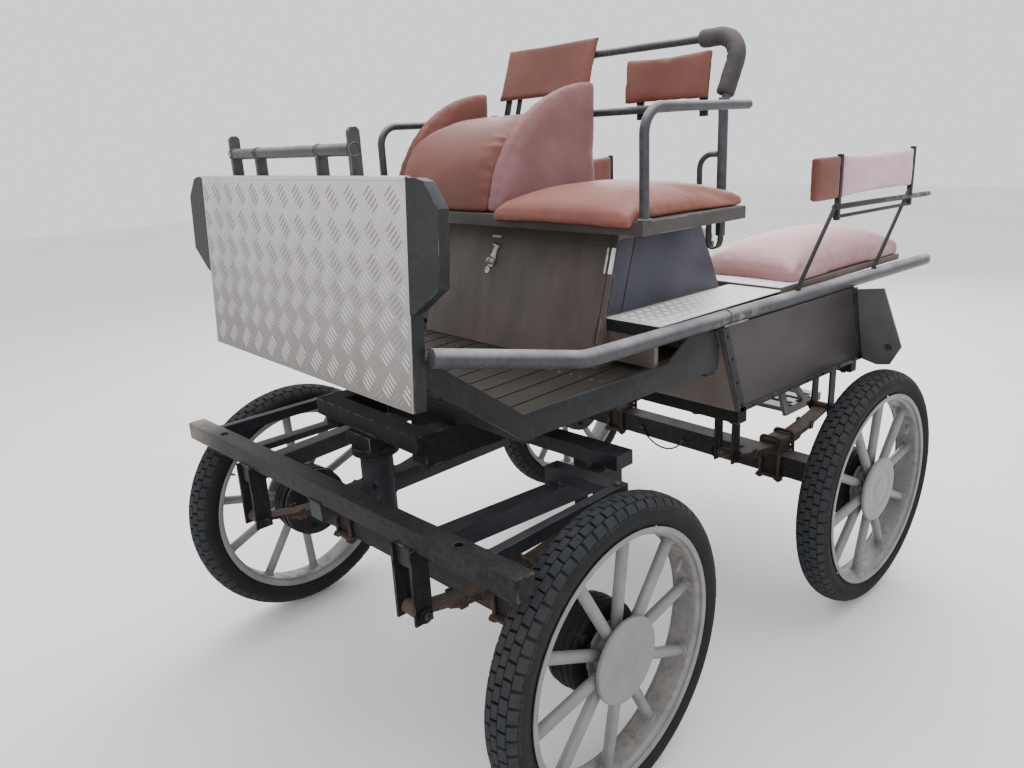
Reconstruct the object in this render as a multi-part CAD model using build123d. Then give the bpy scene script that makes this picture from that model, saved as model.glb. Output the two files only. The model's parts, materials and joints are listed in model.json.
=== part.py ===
from build123d import *
import math
import os

# Light four-wheeled wagonette: tubular steel frame, plywood panels, two rows of
# seats and a turntable front bogie.  Millimetres, +Z up, the carriage's front
# faces -Y, its left side is +X.  The floor is z = 0 and the front axle's
# turntable stands over x = y = 0 until the last step moves the origin.

# ---------------------------------------------------------------- dimensions
WHEEL_R = 310.0            # tyre outer radius (3.00-18 size block tyre)
TYRE_W = 80.0              # tyre width
RIM_R = 252.0              # rim flange radius
RIM_W = 68.0               # rim width
HUB_DISC_R = 84.0          # round cover disc on the outside of the hub
SPOKE_D = 23.0             # tubular spokes
SPOKES = 10
DRUM_R = 92.0              # brake drum
DRUM_W = 52.0
STUB_R = 15.0              # wheel spindle radius
RUN_FIT = 0.05             # radial clearance of spindle and kingpin

TRACK = 1100.0             # between tyre centre planes
WHEELBASE = 1025.0
STEER = 3.2                # the bogie stands turned this much, degrees

BODY_HX = 465.0            # half width over the tub's side panels
RAIL_X = 455.0             # top rail centre
RAIL_Z = 848.0
RAIL_D = 33.0
RAIL_END_Y = 1490.0

DASH_HX = 385.0            # dashboard half width
DASH_Y, DASH_Z0 = -252.0, 817.0   # bottom edge of the leaning dashboard
DASH_H = 364.0             # its height along the slope
DASH_LEAN = 3.6            # degrees
REIN_Y = -216.0

FLOOR_Z = 748.0            # top of the footwell planks
FLOOR_Y0 = -48.0           # front edge of the level floor
TUB_Z = 622.0              # underside of the rear tub
TUB_TOP = 832.0
TUB_F = (470.0, 548.0)     # tub front wall, y at the top and at the bottom
TUB_R = (1058.0, 1120.0)   # tub rear wall, y at the top and at the bottom
PLY = 12.0

BOX_HX = 300.0             # seat box half width
BOX_F = (262.0, 345.0)     # seat box front face, y at the floor and at the top
BOX_R = (700.0, 615.0)     # seat box rear face, y at the deck and at the top
BOX_TOP = 1030.0
LEDGE_HX = 440.0
LEDGE_Y = (250.0, 586.0)
LEDGE_Z = (1040.0, 1067.0)
DECK_Z = 862.0             # top of the checker-plate side decks
DECK_Y = (300.0, 740.0)

RAIL_BACK_Y = 600.0        # back rail behind the front seats
BENCH_Y = (832.0, 1352.0)
BENCH_X = (168.0, 434.0)
BENCH_Z = 866.0
DOOR_HX = 150.0            # half width of the rear doorway

BOGIE_Z = 590.0            # top of the bogie frame
BOGIE_T = 40.0
BEAM_HX = 572.0
BEAM_Y = (-261.0, -221.0)
LONG_X = (290.0, 342.0)    # centres of the two long members, at the front and at the rear
LONG_Z = (510.0, 550.0)
RBEAM_Y = (215.0, 269.0)
RBEAM_Z = (558.0, 590.0)
KP_Y = -100.0              # kingpin, ahead of the axle
SPRING_HALF = 250.0
FSPRING_X, FSPRING_Z = 290.0, 384.0
RSPRING_X, RSPRING_Z = 287.0, 372.0
STAY_X = (468.0, 488.0)    # outer stay bars of the bogie

parts = {}


# ------------------------------------------------------------------- helpers
def box(x0, x1, y0, y1, z0, z1):
    """A block between two corners."""
    return Pos((x0 + x1) / 2, (y0 + y1) / 2, (z0 + z1) / 2) * Box(x1 - x0, y1 - y0, z1 - z0)


def rod(p, q, r):
    """A round bar from p to q."""
    p, q = Vector(*p), Vector(*q)
    d = q - p
    pl = Plane(origin=p, z_dir=d.normalized())
    return pl * Cylinder(r, d.length, align=(Align.CENTER, Align.CENTER, Align.MIN))


def bar(p, q, w, t, up=(0, 0, 1)):
    """A flat or square bar from p to q, w across, t along the up side."""
    p, q = Vector(*p), Vector(*q)
    d = (q - p).normalized()
    side = d.cross(Vector(*up)).normalized()
    pl = Plane(origin=p, x_dir=side, z_dir=d)
    return pl * Box(w, t, (q - p).length, align=(Align.CENTER, Align.CENTER, Align.MIN))


def tube(points, radii, r):
    """A round tube along a route with rounded corners."""
    path = FilletPolyline(*[Vector(*p) for p in points], radius=radii)
    start = Vector(*points[0])
    d = (Vector(*points[1]) - start).normalized()
    return sweep(Plane(origin=start, z_dir=d) * Circle(r), path=path)


def prism_x(profile, x0, x1):
    """A plate with a y-z outline, from x0 to x1."""
    face = make_face(Polyline(*[(x0, y, z) for y, z in profile], close=True))
    return extrude(face, amount=x1 - x0, dir=(1, 0, 0))


def prism_y(profile, y0, y1):
    """A plate with an x-z outline, from y0 to y1."""
    face = make_face(Polyline(*[(x, y0, z) for x, z in profile], close=True))
    return extrude(face, amount=y1 - y0, dir=(0, 1, 0))


def prism_z(profile, z0, z1):
    """A plate with an x-y outline, from z0 to z1."""
    face = make_face(Polyline(*[(x, y, z0) for x, y in profile], close=True))
    return extrude(face, amount=z1 - z0, dir=(0, 0, 1))


def both(shape):
    """The shape and its mirror image on the carriage's other side."""
    return [shape, mirror(shape, Plane.YZ)]


def node(name, *shapes, bogie=False):
    solids = []
    for s in shapes:
        solids += list(s.solids()) if not isinstance(s, (list, tuple)) else [q for t in s for q in t.solids()]
    if bogie:
        solids = [s.rotate(Axis.Z, STEER) for s in solids]
    parts[name] = solids


def fused(*shapes):
    out = shapes[0]
    for s in shapes[1:]:
        out = out + s
    return out


# -------------------------------------------------------------------- wheels
def make_wheel(phase):
    """Tyre, spoked wheel and brake drum about the X axis, outer side +X."""
    hw = TYRE_W / 2
    sec = Pos(0, (RIM_R + 0.3 + WHEEL_R) / 2) * RectangleRounded(TYRE_W, WHEEL_R - RIM_R - 0.3, 24)
    tyre = revolve(sec, axis=Axis.X)
    f, w = RIM_R, RIM_W / 2
    rim = revolve(make_face(Polyline((-w, f), (w, f), (w, f - 9), (20, f - 18), (-20, f - 18), (-w, f - 9), close=True)),
                  axis=Axis.X)
    # hub barrel, its cover disc and the inner flange, bored for the spindle
    hub = revolve(make_face(Polyline((-18, STUB_R + RUN_FIT), (24, STUB_R + RUN_FIT), (24, 0.0), (33, 0.0), (33, HUB_DISC_R - 3),
                                     (30, HUB_DISC_R), (26, HUB_DISC_R), (26, 44), (-12, 44), (-12, 60), (-18, 60), close=True)),
                  axis=Axis.X)
    wheel = rim + hub
    for i in range(SPOKES):
        a = math.radians(phase + 360.0 / SPOKES * i)
        x = 13.0 if i % 2 else -1.0
        c, s = math.cos(a), math.sin(a)
        wheel = wheel + rod((x, 38 * c, 38 * s), (x * 0.3, (f - 14) * c, (f - 14) * s), SPOKE_D / 2)
    # the drum is a cup, open on the inboard side
    d = DRUM_R
    drum = revolve(make_face(Polyline((-18, STUB_R + RUN_FIT), (-18, 78), (-22, d), (-18 - DRUM_W, d), (-18 - DRUM_W, d - 7),
                                      (-27, d - 7), (-27, STUB_R + RUN_FIT), close=True)), axis=Axis.X)
    return tyre, wheel, drum


# wheel name, side (+1 left), y, on the bogie, angle of its first spoke
WHEELS = [("fl", 1, 0.0, True, 10), ("fr", -1, 0.0, True, 15), ("rl", 1, WHEELBASE, False, 10), ("rr", -1, WHEELBASE, False, 19)]
for tag, side, wy, on_bogie, phase in WHEELS:
    tyre, wheel, drum = make_wheel(phase)
    place = Pos(side * TRACK / 2, wy, WHEEL_R) * (Rot(0, 0, 0) if side > 0 else Rot(0, 0, 180))
    node("tyre_" + tag, place * tyre, bogie=on_bogie)
    node("wheel_" + tag, place * wheel, bogie=on_bogie)
    node("brake_drum_" + tag, place * drum, bogie=on_bogie)


def make_axle(beam):
    """Square beam, brake back plates and wheel spindles, along X at z = WHEEL_R."""
    xo = TRACK / 2
    body = box(-xo + 78, xo - 78, -beam / 2, beam / 2, WHEEL_R - beam / 2, WHEEL_R + beam / 2)
    for s in (1, -1):
        body = body + rod((s * (xo - 84), 0, WHEEL_R), (s * (xo - 76), 0, WHEEL_R), DRUM_R - 1)
        body = body + rod((s * (xo - 90), 0, WHEEL_R), (s * (xo - 32), 0, WHEEL_R), 26)
        body = body + rod((s * (xo - 40), 0, WHEEL_R), (s * (xo + 22), 0, WHEEL_R), STUB_R)
    return body


def make_spring(x, z, saddle_z, beam):
    """Three-leaf spring bowed down at its middle, with eyes, seat and U-bolts."""
    h = SPRING_HALF
    rise = 34.0
    rad = (h * h + rise * rise) / (2 * rise)
    leaves = None
    for k, (half, t) in enumerate(((h, 8.0), (h * 0.72, 8.0), (h * 0.42, 8.0))):
        zc = z - k * 8.0 + rad
        a0 = math.asin(half / rad)
        r0, r1 = rad - (k + 0) * 0 - t / 2, rad + t / 2
        pts = []
        n = 1
        top0 = (-half, zc - math.sqrt(r0 * r0 - half * half))
        top1 = (half, zc - math.sqrt(r0 * r0 - half * half))
        bot0 = (-half, zc - math.sqrt(r1 * r1 - half * half))
        bot1 = (half, zc - math.sqrt(r1 * r1 - half * half))
        e1 = ThreePointArc((x - 22, *top0), (x - 22, 0, zc - r0), (x - 22, *top1))
        e2 = Line((x - 22, *top1), (x - 22, *bot1))
        e3 = ThreePointArc((x - 22, *bot1), (x - 22, 0, zc - r1), (x - 22, *bot0))
        e4 = Line((x - 22, *bot0), (x - 22, *top0))
        leaf = extrude(make_face([e1, e2, e3, e4]), amount=44, dir=(1, 0, 0))
        leaves = leaf if leaves is None else leaves + leaf
    for s in (-1, 1):
        leaves = leaves + rod((x - 22, s * h, z + rise), (x + 22, s * h, z + rise), 14)
    # seat block down to the axle and the clamp over the leaves
    leaves = leaves + box(x - 26, x + 26, -34, 34, saddle_z + 0.2, z - 14)
    leaves = leaves + box(x - 26, x + 26, -beam / 2 - 12, beam / 2 + 12, z, z + 10)
    for dy in (-beam / 2 - 6.0, beam / 2 + 6.0):
        for dx in (-29, 29):
            leaves = leaves + rod((x + dx, dy, saddle_z - beam - 14), (x + dx, dy, z + 22), 5)
        leaves = leaves + box(x - 34, x + 34, dy - 7, dy + 7, z + 4, z + 16)
    leaves = leaves + box(x - 36, x + 36, -beam / 2 - 14, beam / 2 + 14, saddle_z - beam - 8, saddle_z - beam - 0.2)
    return leaves, z + rise


# --------------------------------------------------------------- front bogie
b0, b1 = BEAM_Y
zt, zb = BOGIE_Z, BOGIE_Z - BOGIE_T
sbar = box(-BEAM_HX, BEAM_HX, b0, b1, zb, zt)
# one vertical pin hole for a shaft near each side
SHAFT_PIN_R = 8.0
for x in (-420.0, 420.0):
    sbar = sbar - rod((x, (b0 + b1) / 2, zb - 5), (x, (b0 + b1) / 2, zt + 5), SHAFT_PIN_R)
node("splinter_bar", sbar, bogie=True)

# two long members and a middle one below the cross beams, splayed to the rear
lz = LONG_Z
frame = box(-393, 393, RBEAM_Y[0], RBEAM_Y[1], *RBEAM_Z)
for s in (1, -1):
    xa = LONG_X[0] + (LONG_X[1] - LONG_X[0]) * (b0 + 250.0) / 500.0
    xb = LONG_X[0] + (LONG_X[1] - LONG_X[0]) * (RBEAM_Y[1] + 250.0) / 500.0
    frame = frame + prism_z([(s * (xa - 20), b0), (s * (xa + 20), b0), (s * (xb + 20), RBEAM_Y[1]), (s * (xb - 20), RBEAM_Y[1])], *lz)
    frame = frame + box(s * xb - 18, s * xb + 18, RBEAM_Y[0], RBEAM_Y[1] - 3, lz[1] - 1, RBEAM_Z[0])
    # outer stay bar and its cross piece
    a, b = sorted((s * STAY_X[0], s * STAY_X[1]))
    frame = frame + box(a, b, b1, 128, 565, zt)
    a, b = sorted((s * 306, s * STAY_X[1]))
    frame = frame + box(a, b, 90, 128, 565, zt)
    a, b = sorted((s * 306, s * 346))
    frame = frame + box(a, b, 90, 128, lz[1] - 1, 565)
frame = frame + box(-20, 20, b0, RBEAM_Y[1], *lz) + box(-20, 20, RBEAM_Y[0], RBEAM_Y[1] - 3, lz[1] - 1, RBEAM_Z[0])
# flat bar on the right that carries the brake line
frame = frame + box(-305, -275, b1, RBEAM_Y[0], 575, zt)
# steering tube that takes the kingpin
kx, ky = KP_Y * math.sin(math.radians(STEER)), KP_Y * math.cos(math.radians(STEER))
frame = frame + rod((kx, ky, 466), (kx, ky, 600), 35)
frame = frame - rod((kx, ky, 460), (kx, ky, 610), 20 + RUN_FIT)

axle = make_axle(50)
node("front_axle", axle, bogie=True)
fs, eye_z = make_spring(FSPRING_X, FSPRING_Z, WHEEL_R + 25, 50)
node("front_springs", both(fs), bogie=True)


def hanger(x, y, eye, top, gap=23.0, wide=32.0):
    """Two cheek plates and a pin that carry one spring eye."""
    h = box(x - gap - 6, x - gap, y - wide / 2, y + wide / 2, eye - 18, top)
    h = h + box(x + gap, x + gap + 6, y - wide / 2, y + wide / 2, eye - 18, top)
    return h + rod((x - gap - 12, y, eye), (x + gap + 12, y, eye), 7.0)


spring_bearers = []
for s in (1, -1):
    for y in (-SPRING_HALF, SPRING_HALF):
        h = hanger(s * FSPRING_X, y, eye_z, zb if y < 0 else RBEAM_Z[0], wide=40.0)
        spring_bearers.append(h - rod((s * FSPRING_X - 22.1, y, eye_z), (s * FSPRING_X + 22.1, y, eye_z), 14.3))
node("bogie_frame", frame, bogie=True)
node("front_spring_hangers", spring_bearers, bogie=True)

# ------------------------------------------------------------------- chassis
ring_up = rod((0, KP_Y, 606), (0, KP_Y, zt + 33), 50) + rod((0, KP_Y, 452), (0, KP_Y, 615), 20)
ring_up = ring_up + rod((0, KP_Y, 450), (0, KP_Y, 461), 32)
node("turntable_upper", ring_up)

CH_Z = (zt + 33, 690.0)


def tub_y(z, pair):
    """Where a slanted tub wall's outer face is at height z."""
    k = (z - TUB_Z) / (TUB_TOP - TUB_Z)
    return pair[1] + (pair[0] - pair[1]) * k


CHP = [(-105, CH_Z[0]), (tub_y(CH_Z[0], TUB_F), CH_Z[0]), (tub_y(CH_Z[1], TUB_F), CH_Z[1]), (-105, CH_Z[1])]
ch = prism_x(CHP, -195, -145) + prism_x(CHP, 145, 195)
for y in (30, 175, 320):
    ch = ch + box(-145, 145, y, y + 45, CH_Z[0], CH_Z[1])
# bridge and block over the kingpin
ch = ch + box(-195, 195, -124, -80, 652, CH_Z[1]) + box(-45, 45, -140, -72, CH_Z[0], 655)
node("chassis_frame", ch)

# footwell: edge bands that flare from the dashboard to the tub, slanted front
# members and floor bearers.  Each row: name of the point, x, y, z of the band's
# bottom edge.
BAND = [("dash", 375.9, -221.0, 851.8), ("corner", 398.0, -30.0, 709.0), ("tub", 450.0, 484.0, 734.0)]
BAND_H = 50.0


def band(p, q, h, t):
    """Upright strip from p to q, its inner side towards the middle."""
    (x0, y0, z0), (x1, y1, z1) = p, q
    lo = make_face(Polyline((x0, y0, z0), (x1, y1, z1), (x1, y1, z1 + h), (x0, y0, z0 + h), close=True))
    return extrude(lo, amount=t, dir=(-1, 0, 0))


pd, pc, pt = [b[1:] for b in BAND]
strip = band(pc, pt, BAND_H, 6.0) + band(pd, pc, BAND_H, 6.0)
# side plate that closes the gap below the top rail, ahead of the tub
def side_x(y):
    return 398.0 + 52.0 * (y + 30.0) / 514.0

sp = make_face(Polyline((side_x(330), 330, 776), (side_x(487.2), 487.2, 783), (side_x(473.5), 473.5, 820), (side_x(400), 400, 827), close=True))
strip = strip + extrude(sp, amount=5, dir=(-1, 0, 0))
fw = strip + mirror(strip, Plane.YZ)
for (y, z, hx) in ((-30, 709.0, 393), (200, 716.0, 415), (455, 728.0, 440)):
    fw = fw + box(-hx, hx, y, y + 30, z - 6, z + 18)
fw = fw + box(-370, 370, -221, -190, 838, 863)
fw = fw + box(-195, -145, -25, 5, 690, 705) + box(145, 195, -25, 5, 690, 705)
fw = fw + box(-195, -145, 200, 230, 690, 712) + box(145, 195, 200, 230, 690, 712)
fw = fw + box(-195, -145, 455, 485, 690, 725) + box(145, 195, 455, 485, 690, 725)
node("footwell_frame", fw)

# floor planks run front to back and follow the bearers' slight rise
PLANKS = 13
planks = []
pitch = 2 * 376.0 / PLANKS
for i in range(PLANKS):
    x0 = -376.0 + i * pitch
    prof = [(-26, 727.5), (486, 747.5), (486, 763.5), (-26, 743.5)]
    planks.append(prism_x(prof, x0 + 3, x0 + pitch - 3))
toe = []
for i in range(4):
    t0, t1 = 0.06 + i * 0.235, 0.06 + i * 0.235 + 0.21
    f0, f1 = (-34, 752), (-200, 872)
    q = [(f0[0] + (f1[0] - f0[0]) * t, f0[1] + (f1[1] - f0[1]) * t) for t in (t0, t1)]
    n = (0.586, 0.81)
    prof = [(q[0][0], q[0][1]), (q[1][0], q[1][1]), (q[1][0] + n[0] * 14, q[1][1] + n[1] * 14), (q[0][0] + n[0] * 14, q[0][1] + n[1] * 14)]
    toe.append(prism_x(prof, -368, 368))
node("footwell_planks", planks, toe)

# ----------------------------------------------------------------- dashboard
# built upright with its front face at y = 0, then leaned back
dash_place = Pos(0, DASH_Y, DASH_Z0) * Rot(-DASH_LEAN, 0, 0)
node("dashboard_sheet", dash_place * box(-DASH_HX, DASH_HX, 0, 3, 0, DASH_H))
df = box(-DASH_HX, DASH_HX, 3, 8, 0, DASH_H - 5)
for z in (2, 173, DASH_H - 27):
    df = df + box(-DASH_HX + 5, DASH_HX - 5, 8, 25, z, z + 25)
# ears at the sides: shallow trays with their edge folded back
EAR = [(385.1, 363), (411, 363), (432, 358), (465, 320), (463, 206), (402, 164), (385.1, 158)]
EAR_IN = [(383, 360), (410, 360), (430, 355), (462, 319), (460, 208), (401, 167), (383, 162)]
EAR_D = 20.0
for s in (1, -1):
    a, b = sorted((s * 365, s * 388))
    df = df + box(a, b, 3, 25, 0, DASH_H - 1)
    df = df + (prism_y([(s * x, z) for x, z in EAR], 0, EAR_D) - prism_y([(s * x, z) for x, z in EAR_IN], 3, EAR_D + 1))
node("dashboard_frame", dash_place * df)
REIN_R = 10.5
rr = rod((-228, REIN_Y, 1222), (228, REIN_Y, 1222), REIN_R)
for x, z in ((228, 1257), (-228, 1257), (118, 1222), (-118, 1222)):
    rr = rr + box(x - 4, x + 4, REIN_Y - 9, REIN_Y + 13, 1177.9, z)
node("rein_rail", rr)

# ------------------------------------------------------------- top side rails
rails = both(tube([(398.3, -216.5, 903), (455, 70, RAIL_Z), (455, RAIL_END_Y, RAIL_Z - 14)], 160, RAIL_D / 2))
node("top_rails", rails)

# ------------------------------------------------------------------ rear tub
ft, fb = TUB_F
rt, rb = TUB_R


def rail_under(y):
    """Underside of the straight part of the top rail at y."""
    return RAIL_Z - 14.0 * (y - 70.0) / (RAIL_END_Y - 70.0) - RAIL_D / 2 - 0.3


side = prism_x([(ft, rail_under(ft)), (fb, TUB_Z), (rb, TUB_Z), (rt, rail_under(rt))], BODY_HX - PLY, BODY_HX)
node("tub_sides", both(side))
ZW = 820.0
SL = [(fb, TUB_Z), (fb + PLY, TUB_Z), (tub_y(ZW, TUB_F) + PLY, ZW), (tub_y(ZW, TUB_F), ZW)]
SR = [(rb - PLY, TUB_Z), (rb, TUB_Z), (tub_y(ZW, TUB_R), ZW), (tub_y(ZW, TUB_R) - PLY, ZW)]
inx = BODY_HX - PLY
front_wall = prism_x(SL, -inx, inx) - box(-302, 302, 400, 600, 764, 840)
rear_wall = prism_x(SR, -inx, inx) - box(-DOOR_HX, DOOR_HX, 1000, 1200, TUB_Z + 38, TUB_TOP + 10)
node("tub_walls", front_wall, rear_wall)
floor_t = 20.0
node("tub_floor", prism_x([(tub_y(TUB_Z, TUB_F) + PLY, TUB_Z), (tub_y(TUB_Z, TUB_R) - PLY, TUB_Z),
                           (tub_y(TUB_Z + floor_t, TUB_R) - PLY, TUB_Z + floor_t), (tub_y(TUB_Z + floor_t, TUB_F) + PLY, TUB_Z + floor_t)], -inx, inx))
# angle frame under the tub that carries the springs
tf = box(-RSPRING_X - 30, -RSPRING_X + 30, 560, 1112, TUB_Z - 34, TUB_Z) + box(RSPRING_X - 30, RSPRING_X + 30, 560, 1112, TUB_Z - 34, TUB_Z)
tf = tf + box(-BODY_HX + 8, BODY_HX - 8, 560, 592, TUB_Z - 34, TUB_Z) + box(-BODY_HX + 8, BODY_HX - 8, 1080, 1112, TUB_Z - 34, TUB_Z)
for s in (1, -1):
    tf = tf + box(s * RSPRING_X - 30, s * RSPRING_X + 30, 1112, 1296, TUB_Z - 34, TUB_Z)
node("tub_underframe", tf)

# rear door between the benches, hinged on the carriage's left
dz0, dz1 = TUB_Z + 43, ZW - 1
dprof = [(tub_y(dz0, TUB_R) - 11, dz0), (tub_y(dz0, TUB_R), dz0), (tub_y(dz1, TUB_R), dz1), (tub_y(dz1, TUB_R) - 11, dz1)]
rd = prism_x(dprof, -DOOR_HX + 5, DOOR_HX - 5)
node("rear_door", rd)

# side wing plates for the tail lamps, in the plane of the rear wall
WP = [(BODY_HX + 0.1, 816), (BODY_HX + 0.1, 622), (505, 611), (540, 617), (573, 672), (537, 826)]
LAMP_X, LAMP_Z, LAMP_R = 540.0, 668.0, 5.0
WING_T = 5.0               # measured along y
yl = tub_y(LAMP_Z, TUB_R)
slab = prism_x([(tub_y(600, TUB_R) - WING_T, 600), (tub_y(600, TUB_R), 600), (tub_y(850, TUB_R), 850), (tub_y(850, TUB_R) - WING_T, 850)], -600, 600)
wing = []
for s in (1, -1):
    plate = prism_y([(s * x, z) for x, z in WP], 1000, 1200) & slab
    wing.append(plate - rod((s * LAMP_X, yl - 0.9591 * 30, LAMP_Z - 0.2831 * 30), (s * LAMP_X, yl + 0.9591 * 30, LAMP_Z + 0.2831 * 30), LAMP_R))
node("lamp_wings", wing)

# ------------------------------------------------------------------ seat box
f0, f1 = BOX_F
r0, r1 = BOX_R


def box_fy(z):
    return f0 + (f1 - f0) * (z - 745.0) / (BOX_TOP - 745.0)


def box_ry(z):
    return r0 + (r1 - r0) * (z - 858.0) / (BOX_TOP - 858.0)


zf = 755.5
outer = [(box_fy(zf), zf), (486, 764.4), (r0, 764.4), (r0, 858), (r1, BOX_TOP), (f1, BOX_TOP)]
inner = [(box_fy(zf) + PLY, zf - 9), (r0 - PLY, zf - 9), (r0 - PLY, 858), (r1 - PLY, BOX_TOP - PLY), (f1 + PLY, BOX_TOP - PLY)]
sb = prism_x(outer, -BOX_HX, BOX_HX) - prism_x(inner, -BOX_HX + PLY, BOX_HX - PLY)
sb = sb + box(-BOX_HX, BOX_HX, r0 - PLY, r0, TUB_Z + 20.2, 766)
BD_X = (-98.0, 288.0)
BD_Z = (788.0, 1004.0)
sb = sb - prism_x([(box_fy(BD_Z[0]) - 30, BD_Z[0]), (box_fy(BD_Z[0]) + 30, BD_Z[0]), (box_fy(BD_Z[1]) + 30, BD_Z[1]), (box_fy(BD_Z[1]) - 30, BD_Z[1])],
                  BD_X[0], BD_X[1])
node("seat_box", sb)
g = 5.0
bd = prism_x([(box_fy(BD_Z[0] + g), BD_Z[0] + g), (box_fy(BD_Z[0] + g) + PLY, BD_Z[0] + g),
              (box_fy(BD_Z[1] - g) + PLY, BD_Z[1] - g), (box_fy(BD_Z[1] - g), BD_Z[1] - g)], BD_X[0] + g, BD_X[1] - g)
node("box_door", bd)

# steel ledge that carries the two front cushions
lz0, lz1 = LEDGE_Z
led = box(-LEDGE_HX, LEDGE_HX, LEDGE_Y[0], LEDGE_Y[1], lz0, lz1)
led = led + box(-BOX_HX + 10, BOX_HX - 10, f1 + 5, r1 - 10, BOX_TOP, lz0)
node("seat_ledge", led)

# checker-plate side decks, with their edge folded down at the front
decks = []
for s in (1, -1):
    a, b = sorted((s * (BOX_HX + 1.0), s * 440.0))
    d = box(a, b, DECK_Y[0], DECK_Y[1], DECK_Z - 3, DECK_Z)
    a, b = sorted((s * (BOX_HX + 1.0), s * 435.0))
    d = d + box(a, b, DECK_Y[0], DECK_Y[0] + 3, DECK_Z - 28, DECK_Z)
    decks.append(d)
node("side_decks", decks)
# plywood risers that close the tub below the decks and the front of the benches
ris = []
for s in (1, -1):
    a, b = sorted((s * (BOX_HX + 2.0), s * 424.0))
    ris.append(box(a, b, DECK_Y[0] + 3, DECK_Y[0] + 15, 771, DECK_Z - 3))

# ------------------------------------------------------------- front cushions
CH_T = 40.0
wy0, wy1 = 266.0, 584.0


def quarter(y0, y1, z0, z1):
    """Quarter-ellipse outline, curved at the front and top, in y and z."""
    n = 8
    pts = []
    for i in range(n + 1):
        a = math.pi / 2 * i / n
        pts.append((y1 - (y1 - y0) * math.cos(a), z0 + (z1 - z0) * math.sin(a)))
    pts.append((y1, z0))
    return pts


ck = [prism_x(quarter(wy0, wy1, lz1, 1347.0), x0, x0 + CH_T) for x0 in (-22.0, -416.0)]
ROLL = [(276, lz1), (284, 1130), (300, 1185), (330, 1228), (380, 1256), (467, 1271), (584, 1280), (584, lz1)]
rl = prism_x(ROLL, -375.5, -22.5)
node("driver_seat_roll", rl)
node("driver_seat_cheeks", ck)
cush = box(24, 416, 254, 584, lz1, lz1 + 48)
node("passenger_cushion", cush)

# ---------------------------------------------------- back rails and armrests
TR = 10.5
low_z, up_z, up_y = 1272.0, 1411.0, 657.0
bk = rod((-372, RAIL_BACK_Y, low_z), (372, RAIL_BACK_Y, low_z), 9)
for s in (1, -1):
    bk = bk + rod((s * 368, RAIL_BACK_Y, 1000), (s * 368, RAIL_BACK_Y, low_z + 12), TR)
    bk = bk + box(s * 368 - 8, s * 368 + 8, LEDGE_Y[1] + 0.1, RAIL_BACK_Y - 4, lz0, lz1)
up = tube([(-60, RAIL_BACK_Y + 17, low_z - 4), (-60, up_y, up_z), (382, up_y, up_z), (368, RAIL_BACK_Y + 2, low_z)], [40, 55], 9)
bk = bk + up
# small hand loop beside the passenger's hip
bk = bk + tube([(368, RAIL_BACK_Y, 1165), (314, RAIL_BACK_Y, 1165), (314, RAIL_BACK_Y, lz0 + 6)], 24, 8)
bk = bk + box(308, 320, LEDGE_Y[1] + 0.1, RAIL_BACK_Y - 2, lz0 + 4, lz1)
node("back_rail_frame", bk)
pad_end = (382 - 14 * 0.86, up_y - (up_y - RAIL_BACK_Y - 2) * 0.86, up_z - (up_z - low_z) * 0.86)
pad = tube([(290, up_y, up_z), (382, up_y, up_z), pad_end], 55, 19) - \
    tube([(280, up_y, up_z), (382, up_y, up_z), (368, RAIL_BACK_Y + 2, low_z)], 55, 9.2)
node("rail_padding", pad)

AR = 9.5
arms = both(tube([(430.5, 264, lz1), (430.5, 264, 1268), (430.5, 596, 1268)], 48, AR))
arms = [a + box(min(s * 379, s * 424), max(s * 379, s * 424), RAIL_BACK_Y - 12, RAIL_BACK_Y - 4, 1262, 1274) for a, s in zip(arms, (1, -1))]
node("armrests", arms)

# backrests: a leaning padded board and its flat posts


def board(x0, x1, y, z0, z1, t, lean):
    prof = [(y, z0), (y + (z1 - z0) * lean, z1), (y + (z1 - z0) * lean + t, z1), (y + t, z0)]
    return prism_x(prof, x0, x1)


LEAN = 36.0 / 122.0
posts = []
for x, w in ((-327, 20), (-284, 14), (-100, 14)):
    posts.append(board(x - w / 2, x + w / 2, 600 + 16.2 - 38 * LEAN, 1280, 1396, 6, LEAN))
    posts.append(box(x - w / 2, x + w / 2, 609.3, 615.3, 1236, 1279.8))
node("front_backrests", board(-352, -28, 600, 1318, 1440, 16, LEAN), board(104, 342, 584, 1284, 1378, 24, 0.10))
for x in (136, 310):
    posts.append(board(x - 10, x + 10, 584 + 24.2, 1283, 1376, 6, 0.10))
    posts.append(box(x - 10, x + 10, 609.3, 615.3, 1250, 1282.8))
node("backrest_posts", posts)

# -------------------------------------------------------------- rear benches
bx0, bx1 = BENCH_X
base = []
for s in (1, -1):
    a, b = sorted((s * bx0, s * (RAIL_X - 17.2)))
    base.append(box(a, b, DECK_Y[1] + 4, BENCH_Y[1] + 6, BENCH_Z - 16, BENCH_Z))
    # upright panel below the bench's inner edge, on the tub floor
    a, b = sorted((s * bx0, s * (bx0 + PLY)))
    base[-1] = base[-1] + box(a, b, DECK_Y[1] + 6, 1046, TUB_Z + floor_t, BENCH_Z - 16)
node("bench_boxes", base)
node("deck_risers", ris)
cu = []
for s in (1, -1):
    a, b = sorted((s * (bx0 + 2), s * bx1))
    cu.append(box(a, b, BENCH_Y[0], BENCH_Y[1], BENCH_Z, BENCH_Z + 78))
node("bench_cushions", cu)

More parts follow.
